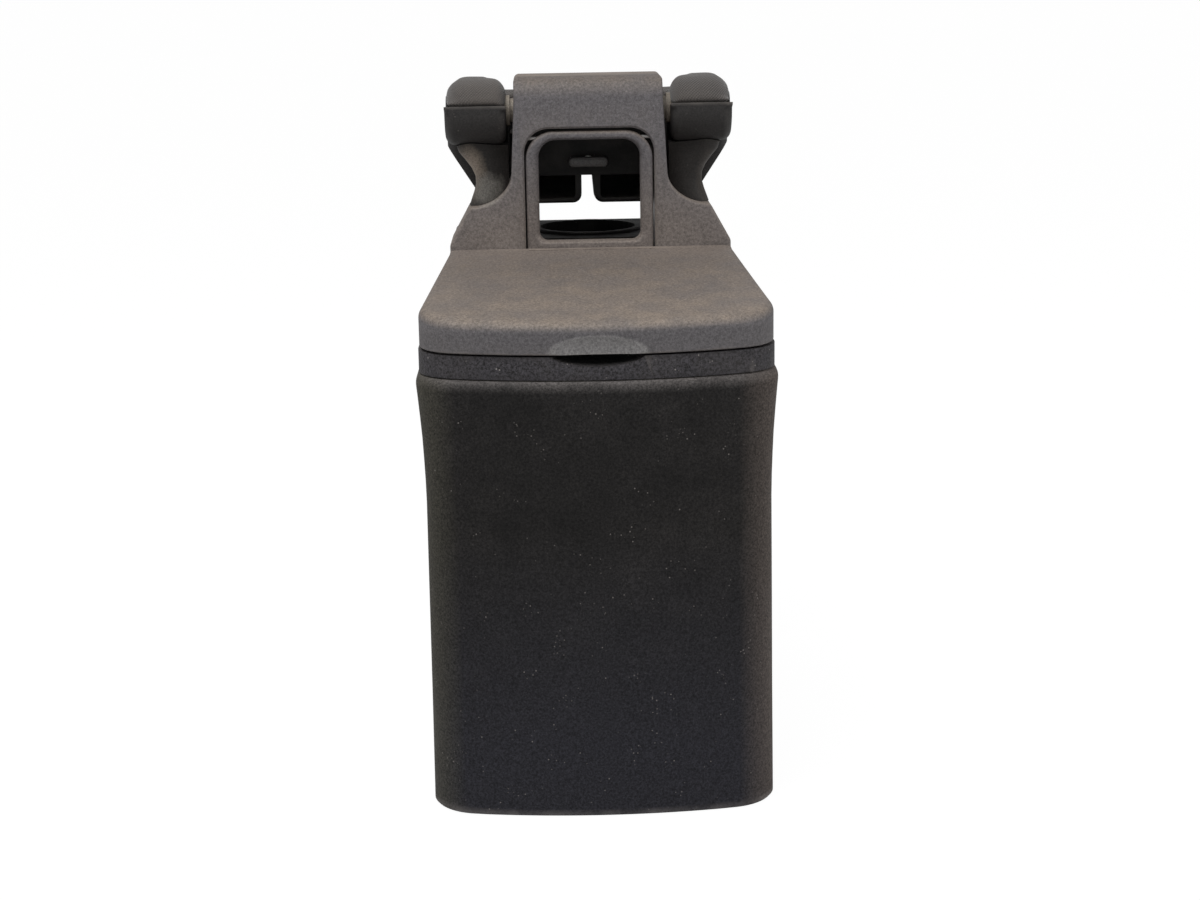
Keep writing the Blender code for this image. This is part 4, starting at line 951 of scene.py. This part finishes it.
def flank_wedge(sign, inset):
    """Room outside the shell's flank, which draws in towards the belly."""
    top, low = PIVOT[1] - 0.026, PIVOT[1] - 0.082
    edge, far = ARM_OUTER - inset, ARM_OUTER + 0.01
    outline = [(edge, top), (edge, PIVOT[1] + 0.01), (far, PIVOT[1] + 0.01), (far, low),
               (edge - FLANK_SLOPE * (top - low), low)]
    if inset <= 0:
        outline = [outline[0], (far, top), *outline[3:]]
    return plate("wedge", [(sign * x, z) for x, z in outline], PIVOT[0] - 0.046, 0.43, "XZ")


def arm_shell(side, sign):
    """The whole shell: two slabs joined, hollowed, drawn in at the flank and bored for the tube."""
    made = rounded_shell(f"shell_{side}", sign, ARM_INNER)
    wide = keep_behind(rounded_shell("wide_part", sign, ARM_MIDDLE), PIVOT[0] + STEP)
    carve(made, wide, "UNION")
    room = [(STEP + 0.003, 0.03), (STEP + 0.003, -0.068), (0.075, -0.068), (REACH - 0.011, -0.048),
            (REACH - 0.003, -0.040), (REACH - 0.003, 0.03)]
    flank = [(0.0285, 0.03), (0.0285, -0.036), (STEP + 0.004, -0.068), (STEP + 0.004, 0.03)]
    for name, outline, inner in (("room", room, ARM_MIDDLE), ("flank", flank, ARM_INNER)):
        sides = span(sign, inner + SHELL_WALL, ARM_OUTER - SHELL_WALL)
        hollow = plate(name, from_pivot(outline), *sides, "YZ")
        carve(hollow, flank_wedge(sign, FLANK_WALL))
        carve(made, hollow)
    carve(made, flank_wedge(sign, 0.0))
    near, far = span(sign, ARM_MIDDLE + 0.0045, ARM_INNER - 0.0015)
    mouth = plate("mouth", rounded([(near, PIVOT[1] - 0.067, 0.003), (far, PIVOT[1] - 0.067, 0.003),
                                    (far, PIVOT[1] - 0.016, 0.003), (near, PIVOT[1] - 0.016, 0.003)], 4),
                  PIVOT[0] + STEP - 0.01, PIVOT[0] + STEP + 0.0035, "XZ")
    carve(made, mouth)
    near, far = span(sign, ARM_INNER - 0.01, ARM_OUTER + 0.01)
    carve(made, bar("bore", BORE, (near, *PIVOT), (far, *PIVOT)))
    soften(made, 0.0005, 2, 40)
    return finish(made, NOSE_PLASTIC, f"arm_{side}", [f"arm_{side}_shell"], 36)


for side, sign in SIDES:
    arm_shell(side, sign)

# %% [markdown]
# ## Supports under the noses
# A small bracket stands on each shoulder and holds the nose in a cradle. Its outer side is waisted,
# its foot spreads out to the shoulder's rim, and its front falls back towards the column, so level
# rings with one rounded corner give the form, and a round cut makes the cradle.

# %% Supports
# Each station: its height and how far out the support reaches there.
SUPPORT_SIDE = [(0.3736, 0.0832), (0.3775, 0.0818), (0.3825, 0.0800), (0.3880, 0.0785), (0.3934, 0.0788),
                (0.3989, 0.0812), (0.4044, 0.0852), (0.4098, 0.0897), (0.4150, 0.0915), (0.4265, 0.0915)]
SUPPORT_LOW = SUPPORT_SIDE[0][0]
SUPPORT_FALL = 0.010
SUPPORT_INNER = 0.0556
SUPPORT_BACK = PIVOT[0] + 0.006
SUPPORT_CORNER = 0.0105
CRADLE_GAP = 0.0008


def support(side, sign):
    """Level rings from the foot to the nose, then the round cut that the nose turns in."""
    rings = []
    for height, outer in SUPPORT_SIDE:
        front = COLUMN_FRONT + 0.0045 + 0.0035 * (height - SUPPORT_LOW) / 0.053
        plan = rounded([(SUPPORT_INNER, front + SUPPORT_FALL, 0), (outer, front, SUPPORT_CORNER),
                        (outer, SUPPORT_BACK, 0.002), (SUPPORT_INNER, SUPPORT_BACK, 0)], 8)
        rings.append([(sign * x, y, height) for x, y in plan])
    made = skin(f"support_{side}", rings)
    near, far = span(sign, 0.05, 0.1)
    carve(made, bar("cradle", NOSE + CRADLE_GAP, (near, *PIVOT), (far, *PIVOT), 96))
    soften(made, 0.0005, 2, 40)
    return finish(made, SUPPORT_PLASTIC, "base", [f"hub_support_{side}"], 40)


for side, sign in SIDES:
    support(side, sign)

# %% [markdown]
# ## Padded tops
# Cloth is stretched over foam on the top of each arm. The pad starts a little smaller than its
# place, is remeshed evenly, and is blown up slightly as cloth with pressure, which crowns its faces
# as foam does. Only movement outwards is kept, up to a cap, so that the pad never shrinks off the
# shell. The edge beside the column is rounded last, and the underside stays on the seam.

# %% Pads
PAD_INSET = 0.0009
PAD_CAP = 0.0036
PAD_ROUND, PAD_INNER_ROUND = 0.0125, 0.0120
PAD_FALL, PAD_FALL_LENGTH = 0.016, 0.05
PAD_PROUD = 0.0007
VOXEL = 0.0030
CLOTH_FRAMES = 20


def below_top(away, up):
    """How far a point of the pad lies under its rounded nose or its sloping top."""
    if away < 0:
        return NOSE - sqrt(away ** 2 + up ** 2)
    return NOSE - PAD_FALL * min(1.0, away / PAD_FALL_LENGTH) - up


def round_inner_edge(pad, sign):
    """Round the pad's upper edge beside the column, less and less towards the step."""
    for vertex in pad.data.vertices:
        away, up = vertex.co.y - PIVOT[0], vertex.co.z - PIVOT[1]
        radius = PAD_INNER_ROUND * max(0.0, min(1.0, (STEP - 0.004 - away) / 0.014))
        inside = radius - (sign * vertex.co.x - ARM_INNER)
        under = radius - below_top(away, up)
        reach = sqrt(inside ** 2 + under ** 2)
        if radius == 0.0 or min(inside, under) <= 0.0 or reach <= radius:
            continue
        share = radius / reach
        vertex.co.x = sign * (ARM_INNER + radius - inside * share)
        drop = under * (1.0 - share)
        if away < 0:
            scale = 1.0 - drop / max(0.001, sqrt(away ** 2 + up ** 2))
            vertex.co.y = PIVOT[0] + away * scale
            vertex.co.z = PIVOT[1] + up * scale
        else:
            vertex.co.z -= drop


def pad_start(side, sign):
    """The pad's smaller starting form, in its place."""
    sides = span(sign, ARM_MIDDLE + PAD_INSET, ARM_OUTER - PAD_INSET)
    made = plate(f"pad_{side}", pad_outline(PAD_INSET), *sides, "YZ")

    def above_seam(co):
        return co.z > PIVOT[1] + seam_height(co.y - PIVOT[0]) + 0.002

    round_edges(made, PAD_ROUND, 7, above_seam)
    near, far = span(sign, -0.02, ARM_INNER + PAD_INSET)
    back = PIVOT[0] + STEP + PAD_INSET
    carve(made, plate("notch", [(near, 0.1), (far, 0.1), (far, back), (near, back)], 0.2, 0.6))
    remesh = made.modifiers.new("remesh", "REMESH")
    remesh.mode = "VOXEL"
    remesh.voxel_size = VOXEL
    return bake(made)


def blow_up(pad):
    """Pressurised cloth for some frames. Only its movement outwards is kept, up to a cap."""
    start = [(vertex.co.copy(), vertex.normal.copy()) for vertex in pad.data.vertices]
    cloth = pad.modifiers.new("cloth", "CLOTH")
    cloth.settings.quality = 5
    cloth.settings.use_pressure = True
    cloth.settings.uniform_pressure_force = 4.0
    cloth.settings.tension_stiffness = 20
    cloth.settings.compression_stiffness = 20
    cloth.settings.effector_weights.gravity = 0.0
    for step in range(1, CLOTH_FRAMES + 1):
        bpy.context.scene.frame_set(step)
    bake(pad)
    bpy.context.scene.frame_set(1)
    rises = []
    for vertex, (before, outward) in zip(pad.data.vertices, start):
        rise = max(0.0, min(PAD_CAP, (vertex.co - before).dot(outward)))
        vertex.co = before + outward * rise
        rises.append(rise)
    print("pad rises by up to", round(max(rises) * 1000, 2), "mm")


def settle(pad, sign):
    """Keep the pad above its seam, inside its outline and clear of the column, and smooth it."""
    low, high = span(sign, ARM_MIDDLE, ARM_OUTER + 0.0008)
    inner = sign * (ARM_INNER + 0.0002)
    for vertex in pad.data.vertices:
        co = vertex.co
        away = co.y - PIVOT[0]
        co.z = max(co.z, PIVOT[1] + seam_height(away) + 0.0005)
        co.x = max(low, min(high, co.x))
        if away < STEP - 0.001:
            co.x = max(inner, co.x) if sign > 0 else min(inner, co.x)
        reach = sqrt(away ** 2 + (co.z - PIVOT[1]) ** 2)
        if away < 0 and reach > NOSE + PAD_PROUD:
            co.y = PIVOT[0] + away * (NOSE + PAD_PROUD) / reach
            co.z = PIVOT[1] + (co.z - PIVOT[1]) * (NOSE + PAD_PROUD) / reach
        co.y = min(co.y, PIVOT[0] + REACH + 0.0004)
    pad.modifiers.new("smooth", "SUBSURF").levels = 1
    bake(pad)


def lay_cloth(pad, sign):
    """Store on each point where it lies on the cloth: across the arm, and along it round the nose."""
    lay = pad.data.attributes.new("cloth", "FLOAT_VECTOR", "POINT")
    middle = sign * (ARM_INNER + ARM_OUTER) / 2
    for index, vertex in enumerate(pad.data.vertices):
        away, up = vertex.co.y - PIVOT[0], vertex.co.z - PIVOT[1]
        around = NOSE * (atan2(up, -away) - pi / 2) if away < 0 else away
        depth = below_top(away, up)
        across = vertex.co.x
        side_on = 1.0 if across > middle else -1.0
        lay.data[index].vector = (across + side_on * max(0.0, depth), around, 0.0)


for side, sign in SIDES:
    pad = pad_start(side, sign)
    blow_up(pad)
    round_inner_edge(pad, sign)
    settle(pad, sign)
    lay_cloth(pad, sign)
    finish(pad, CLOTH, f"arm_{side}", [f"arm_{side}_pad"], 60)

# %% [markdown]
# ## Fastenings
# Every screw is the same: a low round head with a cross recess. Geometry Nodes put one head on each
# point of a small cloud, turned by an attribute, and realise them, so a whole row is one mesh.

# %% Screw heads
HEAD_RADIUS = 0.0034
HEAD_HEIGHT = 0.0018
# The number of the random value node's socket for its largest value.
RANDOM_MAX = 3


def head_shape():
    """One screw head standing on the origin, with its cross cut in."""
    profile = [(0.0, 0.0), (1.0, 0.0), (1.0, 0.45), (0.93, 0.68), (0.78, 0.86), (0.5, 0.97)]
    rings = [[(0, 0, 0)]]
    for radius, height in profile[1:]:
        rings.append(lift(circle((0, 0), radius * HEAD_RADIUS, 28), height * HEAD_HEIGHT))
    made = skin("screw_head", rings)
    arm, long = 0.00042, 0.0019
    for wide, tall in ((arm, long), (long, arm)):
        carve(made, plate("cross", box(wide, -tall, tall), HEAD_HEIGHT * 0.42, 0.01))
    made.hide_render = True
    return made


HEAD = head_shape()


def screw_tree(name):
    """A tree that puts the head on every point, with its size as a named input."""
    tree = bpy.data.node_groups.new(name, "GeometryNodeTree")
    tree.interface.new_socket("Geometry", in_out="INPUT", socket_type="NodeSocketGeometry")
    size = tree.interface.new_socket("Head size", in_out="INPUT", socket_type="NodeSocketFloat")
    size.default_value = 1.0
    tree.interface.new_socket("Geometry", in_out="OUTPUT", socket_type="NodeSocketGeometry")
    start = tree.nodes.new("NodeGroupInput")
    end = tree.nodes.new("NodeGroupOutput")
    head = node(tree, "GeometryNodeObjectInfo")
    head.inputs["Object"].default_value = HEAD
    facing = node(tree, "GeometryNodeInputNamedAttribute", {"data_type": "FLOAT_VECTOR"}, Name="facing")
    turned = node(tree, "FunctionNodeAlignEulerToVector", {"axis": "Z"}, Vector=facing.outputs[0])
    angle = node(tree, "FunctionNodeRandomValue", {"data_type": "FLOAT"}, Seed=7)
    angle.inputs[RANDOM_MAX].default_value = 3.1
    spun = node(tree, "FunctionNodeRotateEuler", {"rotation_type": "AXIS_ANGLE", "space": "LOCAL"},
                Rotation=turned.outputs[0], Angle=angle.outputs[1])
    put = node(tree, "GeometryNodeInstanceOnPoints", Points=start.outputs[0],
               Instance=head.outputs["Geometry"], Rotation=spun.outputs[0],
               Scale=start.outputs["Head size"])
    real = node(tree, "GeometryNodeRealizeInstances", Geometry=put.outputs[0])
    painted = node(tree, "GeometryNodeSetMaterial", Geometry=real.outputs[0], Material=STEEL)
    tree.links.new(painted.outputs[0], end.inputs[0])
    return tree, size.identifier


SCREW_TREE, HEAD_SIZE = screw_tree("screw_heads")


def screws(name, nodes, facing, body, size=1.0):
    """Heads in place of the CAD screws, standing where those stand."""
    cloud = bpy.data.meshes.new(name)
    spots = []
    way = Vector(facing)
    for known in nodes:
        low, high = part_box(known)
        middle, half = (low + high) / 2, (high - low) / 2
        spots.append(middle - way * abs(half.dot(way)) - Vector((0, FACE_Y, 0)))
    cloud.from_pydata(spots, [], [])
    stored = cloud.attributes.new("facing", "FLOAT_VECTOR", "POINT")
    for item in stored.data:
        item.vector = facing
    made = new_object(name, cloud)
    growth = made.modifiers.new("heads", "NODES")
    growth.node_group = SCREW_TREE
    growth[HEAD_SIZE] = size
    bake(made)
    return finish(made, STEEL, body, nodes, 30)


for part, facing, body, size in (("base", (0, 0, 1), "base", 1.45), ("column", (0, 1, 0), "base", 1.0),
                                 ("lid", (0, 0, -1), "lid", 1.0)):
    screws(f"{part}_screws", [f"{part}_screw_{i}" for i in range(1, 5)], facing, body, size)
for side, _ in SIDES:
    screws(f"arm_{side}_screws", [f"arm_{side}_screw_{i}" for i in (1, 2)], (0, 0, -1), f"arm_{side}")
bpy.data.objects.remove(HEAD, do_unlink=True)

# %% [markdown]
# ## Solids that keep their shape
# The steel frame, the tube, the brackets and the inner mouldings are right as they come from CAD.
# They only need their finishes, which go into the material slots of the frame's own objects.

# %% Finishes for the frame's own solids
FINISHES = {
    STEEL: ["column_frame", "lid_pin_1", "lid_pin_2", "release_spring", "arm_l_bracket", "arm_r_bracket"],
    ZINC: ["base_plate"],
    TUBE_FINISH: ["pivot_tube", "arm_l_bush", "arm_r_bush"],
    BAR_PLASTIC: ["release_bar"],
    RUBBER: ["cup_mat", "lid_buffer_1", "lid_buffer_2"],
    INNER_PLASTIC: ["bin_liner", "column_back", "rear_deck", "cup_insert", "lid_liner",
                    "arm_l_cap", "arm_r_cap"],
}
for look, names in FINISHES.items():
    for name in names:
        NODES[name].data.materials.clear()
        NODES[name].data.materials.append(look)
print("finished solids:", sum(len(names) for names in FINISHES.values()))

# %% [markdown]
# ## Light and floor
# Soft, plain light: an even white world, a large lamp above the front left, and a weaker one on the
# right. The floor is pale. To the camera alone it glows, which makes it as white as the
# photograph's background, and a trace of its own shading stays.

# %% Light and floor
def mix_shaders(tree, factor, first, second):
    """One shader's light or another's, or a share of each."""
    made = node(tree, "ShaderNodeMixShader", Fac=factor)
    tree.links.new(first.outputs[0], made.inputs[1])
    tree.links.new(second.outputs[0], made.inputs[2])
    return made.outputs[0]


WORLD_LIGHT = 0.44
FLOOR_GLOW, FLOOR_GLOW_SHARE = 1.04, 0.93

world = bpy.data.worlds.new("studio")
bpy.context.scene.world = world
world.use_nodes = True
tree = world.node_tree
tree.nodes.clear()
ray = node(tree, "ShaderNodeLightPath")
soft = node(tree, "ShaderNodeBackground", Color=(1, 1, 1, 1), Strength=WORLD_LIGHT)
white = node(tree, "ShaderNodeBackground", Color=(1, 1, 1, 1), Strength=1.0)
seen = combine(tree, "MAXIMUM", ray.outputs["Is Camera Ray"], ray.outputs["Is Transmission Ray"])
chosen = mix_shaders(tree, seen, soft, white)
node(tree, "ShaderNodeOutputWorld", Surface=chosen)


def soft_lamp(name, place, target, size, watts):
    """A round lamp at a place, turned to shine on a target."""
    lamp = bpy.data.lights.new(name, "AREA")
    lamp.shape = "DISK"
    lamp.size = size
    lamp.energy = watts
    aim = (Vector(target) - Vector(place)).to_track_quat("-Z", "Y").to_matrix().to_4x4()
    new_object(name, lamp).matrix_world = Matrix.Translation(place) @ aim


soft_lamp("key", (-0.55, -0.75, 2.2), (0, 0, 0.3), 1.5, 34)
soft_lamp("fill", (1.5, -0.9, 1.2), (0, 0, 0.3), 1.2, 7)

shape = bmesh.new()
bmesh.ops.create_grid(shape, x_segments=1, y_segments=1, size=30)
floor = piece_from("floor", shape)
for vertex in floor.data.vertices:
    vertex.co.z = -0.0002
floor_look, tree, shader, place = new_material("pale_floor")
mottle = noise(tree, place.outputs["Object"], 3.0, 2.0)
plug(tree, shader, Base_Color=blend_colour(tree, mottle, (0.80, 0.80, 0.80), (0.83, 0.83, 0.83)),
     Roughness=0.9)
ray = node(tree, "ShaderNodeLightPath")
glow = node(tree, "ShaderNodeEmission", Color=(1, 1, 1, 1), Strength=FLOOR_GLOW)
mostly = times(tree, ray.outputs["Is Camera Ray"], FLOOR_GLOW_SHARE)
chosen = mix_shaders(tree, mostly, shader, glow)
tree.links.new(chosen, tree.nodes["Material Output"].inputs["Surface"])
floor.data.materials.append(floor_look)
floor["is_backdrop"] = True
print("world light:", WORLD_LIGHT, "lamps:", len(bpy.data.lights))

# %% [markdown]
# ## Sizes and the end
# The dressed model's box and the CAD box are both printed.

# %% Sizes and the end
SEEN_BOX = [list(corner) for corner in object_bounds()]
for label, corners in (("CAD", CAD_BOX), ("visual", SEEN_BOX)):
    print(label, "box in mm:", [[round(v * 1000, 1) for v in corner] for corner in corners])
